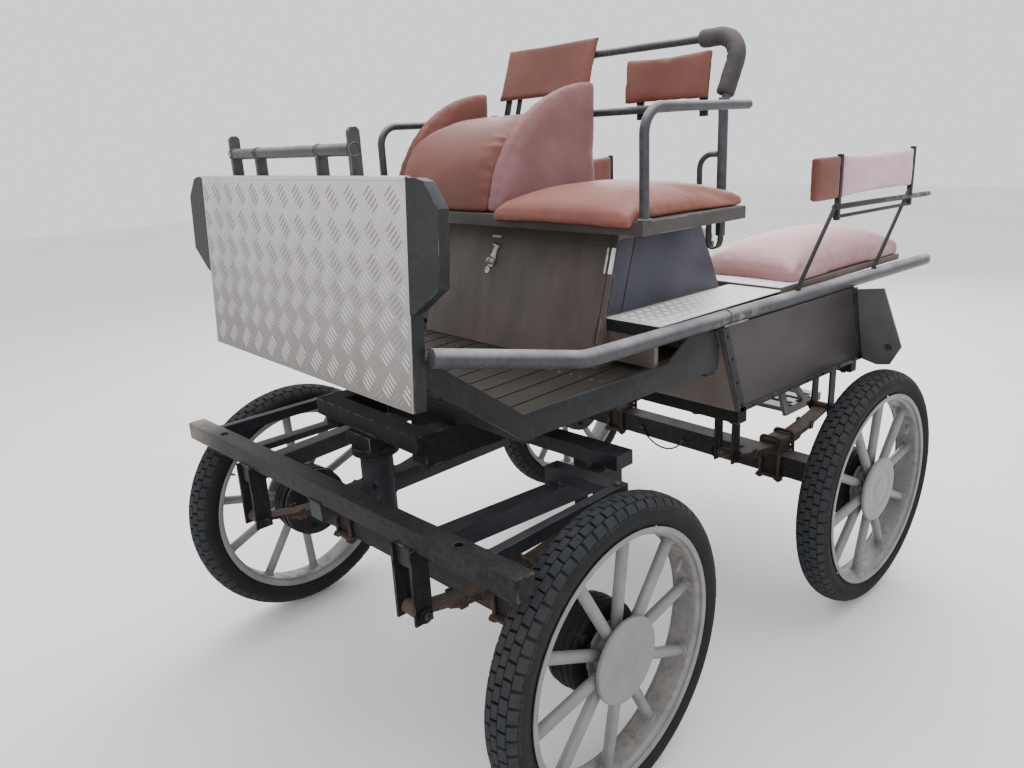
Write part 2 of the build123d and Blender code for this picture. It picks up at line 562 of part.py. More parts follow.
PX = 458.0
BACK_END = {1: 1332.0, -1: 1171.0}   # the right backrest is the shorter one
bf = []
for s in (1, -1):
    x = s * PX
    e = BACK_END[s]
    f = box(x - 6, x + 6, 939, 951, 1000, 1152) + box(x - 6, x + 6, e, e + 12, 1000, 1152)
    f = f + rod((x, 780, 859.5), (x, 945, 1046), 6.5) + rod((x, e - 172, 855.5 if s > 0 else 857.0), (x, e + 6, 1046), 6.5)
    f = f + rod((x, 930, 1031), (x, 1462, 1020), 8) + rod((x, 934, 1008), (x, e + 8, 1003), 5)
    f = f - rod((s * RAIL_X, 70, RAIL_Z), (s * RAIL_X, RAIL_END_Y, RAIL_Z - 14), RAIL_D / 2 + 0.1)
    bf.append(f)
node("bench_back_frames", bf)
bp = []
for s in (1, -1):
    a, b = sorted((s * (PX - 14), s * (PX + 10)))
    bp.append(box(a, b, 952, BACK_END[s] - 1, 1050, 1150))
    # short pad ahead of the front upright
    bp.append(box(a, b, 830, 938, 1052, 1148))
node("bench_backrests", bp)

# -------------------------------------------------------------- rear running gear
node("rear_axle", Pos(0, WHEELBASE, 0) * make_axle(60))
rs, reye = make_spring(RSPRING_X, RSPRING_Z, WHEEL_R + 30, 60)
node("rear_springs", [Pos(0, WHEELBASE, 0) * s for s in both(rs)])
rh = []
for s in (1, -1):
    for y in (WHEELBASE - SPRING_HALF, WHEELBASE + SPRING_HALF):
        h = hanger(s * RSPRING_X, y, reye, TUB_Z - 34)
        rh.append(h - rod((s * RSPRING_X - 22.1, y, reye), (s * RSPRING_X + 22.1, y, reye), 14.3))
node("rear_spring_hangers", rh)

# rear step: slats across, hung from the underframe
st = box(-225, 225, 1176, 1192, 398, 412)
for i in range(4):
    y = 1190 + i * 52
    st = st + box(-225, 225, y, y + 30, 398, 412)
for s in (1, -1):
    a, b = sorted((s * 225, s * 213))
    st = st + box(a, b, 1176, 1384, 386, 412)
    st = st + bar((s * 219, 1184, 400), (s * 219, 1100, TUB_Z - 35), 12, 24, up=(0, 1, 0))
    st = st + bar((s * 219, 1300, 400), (s * 219, 1112, TUB_Z - 38), 12, 20, up=(0, 1, 0))
st = st - box(-300, 300, 1000, 1400, TUB_Z - 34.1, TUB_Z + 60)
node("rear_step", st)

# foot brake pedal on the driver's side
bpd = rod((-200, 40, 760), (-200, -40, 850), 7) + Pos(-200, -44, 856) * Rot(-42, 0, 0) * Box(70, 60, 8) + box(-215, -185, 26, 56, 747.2, 770)
node("brake_pedal", bpd)

# ------------------------------------------------------------------- writing
lo = [1e9] * 3
hi = [-1e9] * 3
for solids in parts.values():
    for s in solids:
        b = s.bounding_box()
        for i, (u, v) in enumerate(zip((b.min.X, b.min.Y, b.min.Z), (b.max.X, b.max.Y, b.max.Z))):
            lo[i], hi[i] = min(lo[i], u), max(hi[i], v)
shift = (0.0, -(lo[1] + hi[1]) / 2, 0.0)
print("bounds", [round(v, 2) for v in lo], [round(v, 2) for v in hi], "shift", [round(v, 3) for v in shift])
os.makedirs("parts", exist_ok=True)
for name, solids in parts.items():
    moved = [Pos(*shift) * s for s in solids]
    export_step(moved[0] if len(moved) == 1 else Compound(children=moved), "parts/" + name + ".step")
print(len(parts), "nodes")
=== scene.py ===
import bpy, bmesh, math, json, random
import numpy as np
from mathutils import Vector, Matrix, noise
from mathutils.kdtree import KDTree

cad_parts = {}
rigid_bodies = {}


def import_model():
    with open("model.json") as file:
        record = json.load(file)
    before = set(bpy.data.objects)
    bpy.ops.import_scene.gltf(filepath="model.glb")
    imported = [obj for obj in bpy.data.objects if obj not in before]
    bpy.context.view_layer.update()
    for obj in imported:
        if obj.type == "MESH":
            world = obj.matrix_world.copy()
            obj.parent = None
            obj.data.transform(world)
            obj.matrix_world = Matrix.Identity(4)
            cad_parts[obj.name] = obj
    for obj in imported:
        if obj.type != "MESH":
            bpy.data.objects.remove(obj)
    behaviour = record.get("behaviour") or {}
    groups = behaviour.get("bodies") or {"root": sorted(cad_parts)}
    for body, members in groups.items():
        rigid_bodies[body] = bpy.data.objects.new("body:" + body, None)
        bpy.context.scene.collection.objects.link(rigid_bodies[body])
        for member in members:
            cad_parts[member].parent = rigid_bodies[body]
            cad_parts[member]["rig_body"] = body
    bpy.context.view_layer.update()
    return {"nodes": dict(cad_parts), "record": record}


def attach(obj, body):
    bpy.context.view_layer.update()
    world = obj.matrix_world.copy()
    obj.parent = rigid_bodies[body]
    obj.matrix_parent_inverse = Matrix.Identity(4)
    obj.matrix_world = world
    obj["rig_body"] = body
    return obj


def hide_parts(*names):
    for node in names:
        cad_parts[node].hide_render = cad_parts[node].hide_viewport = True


random.seed(7)
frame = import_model()
NODES = frame["nodes"]
YS = -0.574507          # the model's origin is this far behind the front pivot
# pieces are drawn in millimetres about the front pivot; the front bogie stands turned a little
ROOT = Matrix.Translation((0, YS, 0)) @ Matrix.Scale(0.001, 4)
BOGIE = Matrix.Translation((0, YS, 0)) @ Matrix.Rotation(math.radians(3.2), 4, "Z") @ Matrix.Scale(0.001, 4)
LEAVE = set()           # CAD nodes that a piece stands for


# ------------------------------------------------------------------ materials
class Mat:
    """A procedural material built node by node."""

    def __init__(self, name):
        self.m = bpy.data.materials.new(name)
        self.m.use_nodes = True
        self.t = self.m.node_tree
        self.t.nodes.clear()
        out = self.t.nodes.new("ShaderNodeOutputMaterial")
        self.b = self.t.nodes.new("ShaderNodeBsdfPrincipled")
        self.t.links.new(self.b.outputs[0], out.inputs[0])
        tc = self.t.nodes.new("ShaderNodeTexCoord")
        self.co = tc.outputs["Object"]
        sp = self.t.nodes.new("ShaderNodeSeparateXYZ")
        self.t.links.new(tc.outputs["Normal"], sp.inputs[0])
        self.nx, self.ny, self.nz = sp.outputs

    def put(self, sock, v):
        if hasattr(v, "is_output"):
            self.t.links.new(v, sock)
        else:
            sock.default_value = (*v, 1.0) if isinstance(v, (tuple, list)) and len(v) == 3 and sock.type == "RGBA" else v

    def attr(self, name):
        n = self.t.nodes.new("ShaderNodeAttribute")
        n.attribute_name = name
        return n.outputs["Fac"]

    def stretch(self, sx, sy, sz, co=None):
        n = self.t.nodes.new("ShaderNodeMapping")
        self.t.links.new(co or self.co, n.inputs[0])
        n.inputs[3].default_value = (sx, sy, sz)
        return n.outputs[0]

    def noise(self, scale, detail=5.0, rough=0.55, co=None, dist=0.0):
        n = self.t.nodes.new("ShaderNodeTexNoise")
        self.t.links.new(co or self.co, n.inputs["Vector"])
        n.inputs["Scale"].default_value = scale
        n.inputs["Detail"].default_value = detail
        n.inputs["Roughness"].default_value = rough
        n.inputs["Distortion"].default_value = dist
        return n.outputs[0]

    def cells(self, scale, co=None, feature="F1"):
        n = self.t.nodes.new("ShaderNodeTexVoronoi")
        n.feature = feature
        self.t.links.new(co or self.co, n.inputs["Vector"])
        n.inputs["Scale"].default_value = scale
        return n.outputs["Distance"]

    def step(self, v, a, b, lo=0.0, hi=1.0):
        n = self.t.nodes.new("ShaderNodeMapRange")
        n.interpolation_type = "SMOOTHSTEP"
        self.put(n.inputs[0], v)
        for i, x in enumerate((a, b, lo, hi)):
            n.inputs[i + 1].default_value = x
        return n.outputs[0]

    def math(self, op, a, b=0.0, clamp=False):
        n = self.t.nodes.new("ShaderNodeMath")
        n.operation = op
        n.use_clamp = clamp
        self.put(n.inputs[0], a)
        self.put(n.inputs[1], b)
        return n.outputs[0]

    def mul(self, a, b):
        return self.math("MULTIPLY", a, b)

    def add(self, a, b):
        return self.math("ADD", a, b, True)

    def mix(self, f, a, b, mode="MIX"):
        n = self.t.nodes.new("ShaderNodeMix")
        n.data_type = "RGBA"
        n.blend_type = mode
        self.put(n.inputs[0], f)
        self.put(n.inputs[6], a)
        self.put(n.inputs[7], b)
        return n.outputs[2]

    def bump(self, height, dist, strength=1.0, on=None):
        n = self.t.nodes.new("ShaderNodeBump")
        n.inputs["Strength"].default_value = strength
        n.inputs["Distance"].default_value = dist
        self.t.links.new(height, n.inputs["Height"])
        if on is not None:
            self.t.links.new(on, n.inputs["Normal"])
        return n.outputs[0]

    def done(self, color, rough=0.5, metal=0.0, normal=None, **more):
        self.put(self.b.inputs["Base Color"], color)
        self.put(self.b.inputs["Roughness"], rough)
        self.put(self.b.inputs["Metallic"], metal)
        if normal is not None:
            self.t.links.new(normal, self.b.inputs["Normal"])
        for k, v in more.items():
            self.b.inputs[k.replace("_", " ")].default_value = v
        return self.m


def steel_mat(name, base=(0.021, 0.023, 0.024), dark=(0.012, 0.013, 0.014), dust_and_light_colour=(0.15, 0.145, 0.145), top_dust_and_light=0.34,
              rust=0.70, rough=0.44, side_dust=0.0, gloss=0.18):
    """Worn black paint: dust and painted top light on what faces up, rust in patches, bare steel on the edges."""
    m = Mat(name)
    n1, n2, n3 = m.noise(7.0, 6), m.noise(85.0, 6), m.noise(13.0, 9, 0.62, dist=0.35)
    c = m.mix(m.step(n1, 0.35, 0.65), dark, base)
    # faces that point up grow lighter, patchy by noise: dust, and painted top light as well
    up = m.step(m.nz, 0.15, 0.95)
    d = m.mul(m.mul(up, m.step(m.noise(11.0, 7), 0.25, 0.72, 0.35, 1.0)), top_dust_and_light)
    if side_dust:
        sp = m.t.nodes.new("ShaderNodeSeparateXYZ")
        m.t.links.new(m.co, sp.inputs[0])
        d = m.add(d, m.mul(m.mul(m.step(sp.outputs[0], -0.36, -0.60), m.step(m.noise(30.0, 7), 0.2, 0.6, 0.5, 1.0)), side_dust))
    haze = m.mul(m.step(n2, 0.35, 0.75), 0.05)
    c = m.mix(m.add(d, haze), c, dust_and_light_colour)
    r = m.step(n3, rust, rust + 0.09)
    rc = m.mix(m.step(n2, 0.35, 0.65), (0.080, 0.046, 0.034), (0.17, 0.105, 0.078))
    c = m.mix(m.mul(r, 0.75), c, rc)
    e = m.mul(m.attr("edge"), m.step(m.noise(38.0, 6), 0.45, 0.62))
    c = m.mix(m.mul(e, 0.55), c, (0.26, 0.255, 0.25))
    ro = m.math("ADD", m.mul(m.add(m.mul(d, 0.55), m.mul(r, 0.4)), 1.0), rough)
    b = m.bump(n2, 0.0006, 0.35)
    b = m.bump(r, 0.0006, 0.5, b)
    return m.done(c, ro, 0.0, b, Specular_IOR_Level=gloss)


def make_mats():
    M = {}
    M["steel"] = steel_mat("black_paint")
    M["steel_blue"] = steel_mat("black_paint_clean", base=(0.019, 0.021, 0.026), dark=(0.011, 0.012, 0.015), top_dust_and_light=0.22, rust=0.72)
    M["steel_rusty"] = steel_mat("black_paint_rusty", base=(0.034, 0.033, 0.032), top_dust_and_light=0.35, rust=0.64)
    M["splinter"] = steel_mat("black_paint_beam", base=(0.014, 0.016, 0.016), dark=(0.009, 0.010, 0.011), dust_and_light_colour=(0.26, 0.235, 0.21), top_dust_and_light=0.10, rust=0.68, side_dust=0.9, gloss=0.08)
    M["gear"] = steel_mat("black_paint_gear", base=(0.013, 0.014, 0.013), dark=(0.008, 0.009, 0.008), top_dust_and_light=0.18, rust=0.66, gloss=0.08)
    M["axle"] = steel_mat("black_paint_axle", base=(0.023, 0.022, 0.021), dark=(0.014, 0.013, 0.013), dust_and_light_colour=(0.24, 0.205, 0.20), top_dust_and_light=0.55, rust=0.68, gloss=0.10)
    M["panel"] = steel_mat("black_paint_panel", base=(0.062, 0.063, 0.082), dark=(0.044, 0.045, 0.060), top_dust_and_light=0.2, rust=0.76, rough=0.40, gloss=0.22)
    M["lamp"] = steel_mat("lamp_plate_paint", base=(0.105, 0.110, 0.104), dark=(0.080, 0.084, 0.078), top_dust_and_light=0.3, rust=0.78, rough=0.50, gloss=0.3)
    # the rail's light tops are dust and painted top light
    M["rail"] = steel_mat("rail_paint", base=(0.042, 0.043, 0.050), dark=(0.028, 0.029, 0.034), dust_and_light_colour=(0.46, 0.44, 0.45), top_dust_and_light=0.80, rust=0.74, gloss=0.34)
    M["ledge"] = steel_mat("black_paint_ledge", base=(0.070, 0.060, 0.056), dark=(0.048, 0.042, 0.039), top_dust_and_light=0.3, rust=0.80)
    # the step's light slat tops are dust and painted top light
    M["step"] = steel_mat("step_paint", base=(0.10, 0.098, 0.095), dark=(0.07, 0.068, 0.065), dust_and_light_colour=(0.50, 0.48, 0.46), top_dust_and_light=0.9, rust=0.72)
    M["rail_dark"] = steel_mat("rail_paint_dark", base=(0.030, 0.031, 0.032), dark=(0.019, 0.020, 0.020), dust_and_light_colour=(0.42, 0.40, 0.40), top_dust_and_light=0.7, rust=0.74, gloss=0.45)

    m = Mat("wheel_paint")
    n1, n2 = m.noise(16.0, 7), m.noise(90.0, 7)
    c = m.mix(m.step(n1, 0.3, 0.7), (0.160, 0.160, 0.160), (0.210, 0.208, 0.205))
    # faces that point up are painted lighter: painted top light
    up = m.mul(m.step(m.nz, 0.1, 1.0), 0.35)
    c = m.mix(up, c, (0.30, 0.285, 0.27))
    r = m.math("MULTIPLY", m.attr("rust"), m.step(m.noise(34.0, 8, 0.65), 0.44, 0.66))
    rc = m.mix(m.step(n2, 0.35, 0.65), (0.120, 0.095, 0.078), (0.20, 0.168, 0.140))
    c = m.mix(m.mul(r, 0.75), c, rc)
    e = m.mul(m.step(n2, 0.60, 0.72), 0.28)
    c = m.mix(e, c, (0.14, 0.135, 0.13))
    M["wheel"] = m.done(c, m.math("ADD", m.mul(r, 0.35), 0.46), 0.12, m.bump(n2, 0.0005, 0.4))

    m = Mat("hub_paint")
    n1, n2 = m.noise(22.0, 7), m.noise(120.0, 7)
    c = m.mix(m.step(n1, 0.3, 0.7), (0.172, 0.171, 0.168), (0.208, 0.206, 0.202))
    c = m.mix(m.mul(m.step(n2, 0.58, 0.7), 0.3), c, (0.11, 0.10, 0.095))
    M["hub"] = m.done(c, 0.42, 0.15, m.bump(n2, 0.0004, 0.3))

    m = Mat("tyre_rubber")
    n1, n2, n3 = m.noise(9.0, 6), m.noise(55.0, 7), m.noise(260.0, 5)
    c = m.mix(m.step(n1, 0.3, 0.7), (0.010, 0.011, 0.011), (0.016, 0.016, 0.017))
    # block tops, and a little the sidewalls, turn lighter through the edge attribute: a painted bluish sky reflection
    # and painted top light, partly dust
    top = m.mul(m.attr("edge"), m.step(n2, 0.25, 0.6, 0.6, 1.0))
    c = m.mix(m.mul(top, 0.55), c, m.mix(m.step(n1, 0.42, 0.62), (0.046, 0.050, 0.058), (0.058, 0.052, 0.048)))
    mud = m.mul(m.step(m.noise(20.0, 8, 0.65), 0.55, 0.75), 0.30)
    c = m.mix(mud, c, (0.050, 0.045, 0.040))
    M["tyre"] = m.done(c, 0.80, 0.0, m.bump(n3, 0.0006, 0.5), Specular_IOR_Level=0.12)

    m = Mat("drum_paint")
    n1, n2 = m.noise(14.0, 7), m.noise(80.0, 6)
    c = m.mix(m.step(n1, 0.3, 0.7), (0.007, 0.007, 0.007), (0.013, 0.013, 0.012))
    # faces that point up are painted lighter: painted top light
    c = m.mix(m.mul(m.step(m.nz, 0.2, 1.0), 0.25), c, (0.05, 0.047, 0.044))
    c = m.mix(m.mul(m.step(m.noise(24.0, 8), 0.64, 0.74), 0.6), c, (0.12, 0.07, 0.045))
    M["drum"] = m.done(c, 0.6, 0.0, m.bump(n2, 0.0008, 0.5), Specular_IOR_Level=0.10)

    m = Mat("spring_rust")
    n1, n2 = m.noise(18.0, 8, 0.6), m.noise(110.0, 7)
    c = m.mix(m.step(n1, 0.35, 0.65), (0.030, 0.021, 0.018), (0.072, 0.046, 0.034))
    c = m.mix(m.mul(m.step(n2, 0.5, 0.7), 0.45), c, (0.16, 0.115, 0.09))
    # faces that point up are painted lighter: painted top light
    c = m.mix(m.mul(m.step(m.nz, 0.3, 1.0), 0.25), c, (0.18, 0.16, 0.14))
    M["spring"] = m.done(c, 0.72, 0.0, m.bump(n2, 0.001, 0.6), Specular_IOR_Level=0.15)

    def plate(name, low, high, dirt, k, metal=0.25):
        m = Mat(name)
        n1, n2 = m.noise(6.0, 6), m.noise(70.0, 7)
        c = m.mix(m.step(n1, 0.3, 0.7), low, tuple(v * 1.14 for v in low))
        c = m.mix(m.mul(m.step(n2, 0.52, 0.75), 0.30), c, dirt)
        # the edge attribute marks the painted highlight on the bars' tops and on the lips
        up = m.mul(m.attr("edge"), m.step(n2, 0.18, 0.45, 0.75, 1.0))
        c = m.mix(up, c, high)
        streak = m.noise(14.0, 6, co=m.stretch(1.0, 1.0, 0.12))
        c = m.mix(m.mul(m.step(streak, 0.55, 0.75), k), c, dirt)
        ro = m.math("SUBTRACT", 0.52, m.mul(up, 0.14))
        return m.done(c, ro, metal, m.bump(n2, 0.0003, 0.25))

    M["tread"] = plate("tread_plate_front", (0.165, 0.153, 0.142), (0.60, 0.570, 0.550), (0.12, 0.106, 0.095), 0.26)
    # the deck's near-white tone is partly the plate's own colour and partly painted light from the window
    M["deck"] = plate("tread_plate_deck", (0.84, 0.81, 0.82), (0.97, 0.96, 0.96), (0.48, 0.45, 0.43), 0.08, 0.0)

    def wood(name, a, b, dust_and_light_colour, gx, gy, gz, rough, top_dust_and_light, grain=0.8):
        m = Mat(name)
        g = m.noise(1.0, 9, 0.6, m.stretch(gx, gy, gz), 0.6)
        g2 = m.noise(1.0, 6, 0.6, m.stretch(gx * 5, gy * 5, gz * 5))
        n1, n2 = m.noise(5.0, 6), m.noise(60.0, 7)
        c = m.mix(m.step(g, 0.3, 0.7), a, b)
        c = m.mix(m.mul(m.step(g2, 0.45, 0.7), 0.35 * grain), c, tuple(v * 0.5 for v in a))
        c = m.mix(m.mul(m.step(n1, 0.35, 0.7), 0.30), c, dust_and_light_colour)
        # faces that point up grow lighter: dust, and painted top light as well
        c = m.mix(m.mul(m.step(m.nz, 0.2, 1.0), top_dust_and_light), c, dust_and_light_colour)
        c = m.mix(m.mul(m.attr("edge"), 0.5), c, tuple(min(1, v * 2.6) for v in b))
        c = m.mix(m.mul(m.step(n2, 0.62, 0.74), 0.25), c, dust_and_light_colour)
        return m.done(c, rough, 0.0, m.bump(g2, 0.0006, 0.35 * grain), Specular_IOR_Level=0.25)

    M["ply"] = wood("film_ply", (0.084, 0.067, 0.059), (0.124, 0.093, 0.081), (0.165, 0.154, 0.133), 14, 14, 2.2, 0.46, 0.30, 0.4)
    M["ply_side"] = wood("film_ply_side", (0.030, 0.023, 0.024), (0.042, 0.033, 0.034), (0.07, 0.064, 0.066), 3, 3, 16, 0.45, 0.30, 0.4)
    M["boards"] = wood("floor_boards", (0.022, 0.018, 0.015), (0.042, 0.034, 0.028), (0.064, 0.057, 0.048), 60, 3.5, 60, 0.66, 0.32, 1.0)

    def leather(name, base, deep, lit, rough=0.52, top=0.45):
        m = Mat(name)
        n1, n2, n3 = m.noise(6.0, 5), m.noise(420.0, 4, 0.6), m.noise(34.0, 6)
        c = m.mix(m.step(n1, 0.3, 0.7), deep, base)
        c = m.mix(m.mul(m.step(m.nz, 0.0, 1.0), top), c, lit)
        c = m.mix(m.mul(m.step(n3, 0.50, 0.70), 0.18), c, deep)
        # the crease attribute darkens the cover along its seam grooves: painted shade
        c = m.mix(m.mul(m.attr("crease"), 0.16), c, tuple(v * 0.5 for v in deep))
        pebble = m.cells(900.0)
        b = m.bump(pebble, 0.00035, 0.35)
        b = m.bump(n2, 0.0005, 0.30, b)
        b = m.bump(n3, 0.0022, 0.30, b)
        return m.done(c, rough, 0.0, b, Specular_IOR_Level=0.26)

    M["leather"] = leather("leatherette", (0.195, 0.074, 0.058), (0.136, 0.048, 0.036), (0.215, 0.080, 0.062))
    M["leather_pad"] = leather("leatherette_pad", (0.25, 0.096, 0.072), (0.185, 0.064, 0.046), (0.35, 0.140, 0.112))
    M["leather_mauve"] = leather("leatherette_outer", (0.265, 0.136, 0.146), (0.195, 0.088, 0.086), (0.24, 0.092, 0.074))
    M["leather_bench"] = leather("leatherette_bench", (0.40, 0.240, 0.245), (0.30, 0.155, 0.140), (0.66, 0.400, 0.420), 0.50, 0.8)
    M["leather_back"] = leather("leatherette_back", (0.65, 0.425, 0.525), (0.53, 0.335, 0.410), (0.80, 0.60, 0.68), 0.50, 0.5)
    M["piping"] = leather("leatherette_piping", (0.270, 0.130, 0.110), (0.205, 0.092, 0.076), (0.37, 0.205, 0.175))

    m = Mat("foam")
    n2 = m.noise(300.0, 5)
    c = m.mix(m.step(m.noise(12.0, 6), 0.3, 0.7), (0.040, 0.034, 0.034), (0.075, 0.064, 0.064))
    # faces that point up are painted lighter: painted top light
    c = m.mix(m.mul(m.step(m.nz, 0.0, 1.0), 0.5), c, (0.20, 0.175, 0.165))
    # the crease attribute darkens the fold valleys and the insides of the open ends: painted shade
    c = m.mix(m.mul(m.attr("crease"), 0.6), c, (0.02, 0.018, 0.018))
    M["foam"] = m.done(c, 0.93, 0.0, m.bump(m.cells(420.0), 0.0010, 0.6))

    m = Mat("zinc")
    n2 = m.noise(140.0, 6)
    c = m.mix(m.step(m.noise(30.0, 6), 0.35, 0.7), (0.52, 0.52, 0.50), (0.34, 0.33, 0.31))
    c = m.mix(m.mul(m.step(m.noise(60.0, 7), 0.56, 0.66), 0.7), c, (0.20, 0.11, 0.065))
    M["zinc"] = m.done(c, 0.42, 0.65, m.bump(n2, 0.0004, 0.4))

    m = Mat("bright_strip")
    c = m.mix(m.step(m.noise(60.0, 6), 0.45, 0.72), (0.86, 0.86, 0.85), (0.55, 0.54, 0.52))
    M["bright"] = m.done(c, 0.35, 0.2, m.bump(m.noise(140.0, 5), 0.0003, 0.3))

    m = Mat("painted_hinge")
    c = m.mix(m.step(m.noise(50.0, 6), 0.4, 0.7), (0.085, 0.068, 0.060), (0.12, 0.095, 0.082))
    M["ply_hinge"] = m.done(c, 0.5, 0.0, m.bump(m.noise(160.0, 5), 0.0003, 0.3))

    m = Mat("dark_screw")
    c = m.mix(m.step(m.noise(70.0, 6), 0.4, 0.7), (0.10, 0.095, 0.09), (0.25, 0.20, 0.16))
    M["screw"] = m.done(c, 0.5, 0.5, m.bump(m.noise(200.0, 5), 0.0003, 0.3))

    m = Mat("black_rubber")
    c = m.mix(m.step(m.noise(40.0, 6), 0.4, 0.7), (0.018, 0.018, 0.018), (0.045, 0.042, 0.040))
    M["rubber"] = m.done(c, 0.75, 0.0, m.bump(m.noise(200.0, 5), 0.0004, 0.4))

    m = Mat("studio_floor")
    c = m.mix(m.step(m.noise(0.8, 4), 0.3, 0.7), (0.86, 0.845, 0.835), (0.89, 0.88, 0.87))
    M["floor"] = m.done(c, 0.55, 0.0)
    return M


M = make_mats()


# --------------------------------------------------------------------- shapes
def bevel_edges(bm, width, angle=28.0, segs=2, concave=False):
    """Rounds the sharp outer edges and returns, for each vertex, how much it stands on one."""
    lim = math.radians(angle)
    es = [e for e in bm.edges if e.is_manifold and (e.calc_face_angle_signed(0.0) > lim or (concave and e.calc_face_angle_signed(0.0) < -lim))]
    new = set()
    if es and width > 0:
        r = bmesh.ops.bevel(bm, geom=es, offset=width, offset_type="OFFSET", segments=segs, profile=0.6, affect="EDGES", clamp_overlap=True)
        new = set(r["faces"])
    bm.verts.ensure_lookup_table()
    bm.verts.index_update()
    return [1.0 if v.link_faces and all(f in new for f in v.link_faces) else 0.0 for v in bm.verts]


class Shape:
    """Collects faces, in millimetres, that become one piece."""

    def __init__(self):
        self.v, self.f, self.at = [], [], []

    def add(self, verts, faces, edge=None, tf=None):
        o = len(self.v)
        self.v += [tuple(tf @ Vector(p)) for p in verts] if tf is not None else [tuple(p) for p in verts]
        self.f += [tuple(i + o for i in q) for q in faces]
        self.at += list(edge) if edge is not None else [0.0] * len(verts)
        return self

    def bm(self, bm, width, tf=None, angle=28.0):
        bmesh.ops.recalc_face_normals(bm, faces=bm.faces)
        at = bevel_edges(bm, width, angle)
        self.add([v.co for v in bm.verts], [[v.index for v in f.verts] for f in bm.faces], at, tf)
        bm.free()
        return self

    def box(self, x0, x1, y0, y1, z0, z1, b=1.2, tf=None):
        bm = bmesh.new()
        vs = [bm.verts.new((x, y, z)) for x in (x0, x1) for y in (y0, y1) for z in (z0, z1)]
        for q in ((0, 1, 3, 2), (4, 6, 7, 5), (0, 4, 5, 1), (2, 3, 7, 6), (0, 2, 6, 4), (1, 5, 7, 3)):
            bm.faces.new([vs[i] for i in q])
        return self.bm(bm, b, tf)

    def prism(self, outline, axis, a0, a1, b=1.0, tf=None, angle=28.0):
        """An outline in the two other axes, drawn out along x, y or z."""
        bm = bmesh.new()

        def at(p, a):
            u, v = p
            return {"x": (a, u, v), "y": (u, a, v), "z": (u, v, a)}[axis]
        lo = [bm.verts.new(at(p, a0)) for p in outline]
        hi = [bm.verts.new(at(p, a1)) for p in outline]
        bm.faces.new(lo)
        bm.faces.new(hi[::-1])
        n = len(outline)
        for i in range(n):
            bm.faces.new((lo[i], hi[i], hi[(i + 1) % n], lo[(i + 1) % n]))
        return self.bm(bm, b, tf, angle)

    def lathe(self, prof, n=48, tf=None, closed=False, mark=None):
        """(x, r) points turned round the x axis; points with r = 0 close it."""
        vs, fs, at, rings = [], [], [], []
        for k, (x, r) in enumerate(prof):
            m = mark[k] if mark else 0.0
            if r < 1e-6:
                rings.append([len(vs)])
                vs.append((x, 0, 0)); at.append(m)
            else:
                rings.append(list(range(len(vs), len(vs) + n)))
                for i in range(n):
                    a = 2 * math.pi * i / n
                    vs.append((x, r * math.cos(a), r * math.sin(a))); at.append(m)
        pairs = list(zip(rings, rings[1:])) + ([(rings[-1], rings[0])] if closed else [])
        for p, q in pairs:
            for i in range(n):
                j = (i + 1) % n
                if len(p) == 1 and len(q) == 1:
                    continue
                if len(p) == 1:
                    fs.append((p[0], q[i], q[j]))
                elif len(q) == 1:
                    fs.append((p[i], q[0], p[j]))
                else:
                    fs.append((p[i], q[i], q[j], p[j]))
        return self.add(vs, fs, at, tf)

    def tube(self, pts, r, n=16, ends="cap", closed=False, mark=0.0, rad=None):
        """A round bar or pipe along a path. ends is cap, round or pipe (one for both, or a pair)."""
        pts = [Vector(p) for p in pts]
        m = len(pts)
        dirs = []
        for i in range(m):
            if closed:
                d = pts[(i + 1) % m] - pts[i - 1]
            else:
                d = pts[min(i + 1, m - 1)] - pts[max(i - 1, 0)]
            dirs.append(d.normalized())
        up = Vector((0, 0, 1)) if abs(dirs[0].z) < 0.9 else Vector((1, 0, 0))
        side = dirs[0].cross(up).normalized()
        rings = []
        for i in range(m):
            side = (side - dirs[i] * side.dot(dirs[i])).normalized()
            rings.append((pts[i], side.copy(), dirs[i].cross(side).normalized(), dirs[i], rad[i] if rad else r))
        if isinstance(ends, str):
            ends = (ends, ends)
        seq = []      # centre, side, up, radius
        if not closed:
            seq += [(c, s, u, rr) for c, s, u, rr in self._end(rings[0], -1, ends[0])][::-1]
        seq += [(c, s, u, rr) for c, s, u, d, rr in rings]
        if not closed:
            seq += self._end(rings[-1], 1, ends[1])
        vs, fs, at, idx = [], [], [], []
        for c, s, u, rr in seq:
            if rr <= 0:
                idx.append([len(vs)]); vs.append(c); at.append(mark)
                continue
            idx.append(list(range(len(vs), len(vs) + n)))
            for k in range(n):
                a = 2 * math.pi * k / n
                vs.append(c + (s * math.cos(a) + u * math.sin(a)) * rr); at.append(mark)
        pairs = list(zip(idx, idx[1:])) + ([(idx[-1], idx[0])] if closed else [])
        for p, q in pairs:
            for k in range(n):
                j = (k + 1) % n
                if len(p) == 1:
                    fs.append((p[0], q[k], q[j]))
                elif len(q) == 1:
                    fs.append((p[k], q[0], p[j]))
                else:
                    fs.append((p[k], q[k], q[j], p[j]))
        return self.add(vs, fs, at)

    @staticmethod
    def _end(ring, way, kind):
        c, s, u, d, r = ring
        e = min(1.2, r * 0.25)
        o = d * way
        if kind == "round":
            return [(c + o * (r * math.sin(t)), s, u, r * math.cos(t)) for t in (0.4, 0.8, 1.2)] + [(c + o * r, s, u, 0.0)]
        if kind == "pipe":
            w = max(1.6, r * 0.16)
            return [(c + o * e * 0.7, s, u, r - e * 0.4), (c + o * e, s, u, r - e), (c + o * e, s, u, r - w - e * 0.5), (c - o * e, s, u, r - w - e),
                    (c - o * r * 1.2, s, u, r - w - e), (c - o * r * 1.2, s, u, 0.0)]
        return [(c + o * e * 0.7, s, u, r - e * 0.3), (c + o * e, s, u, r - e), (c + o * e, s, u, 0.0)]

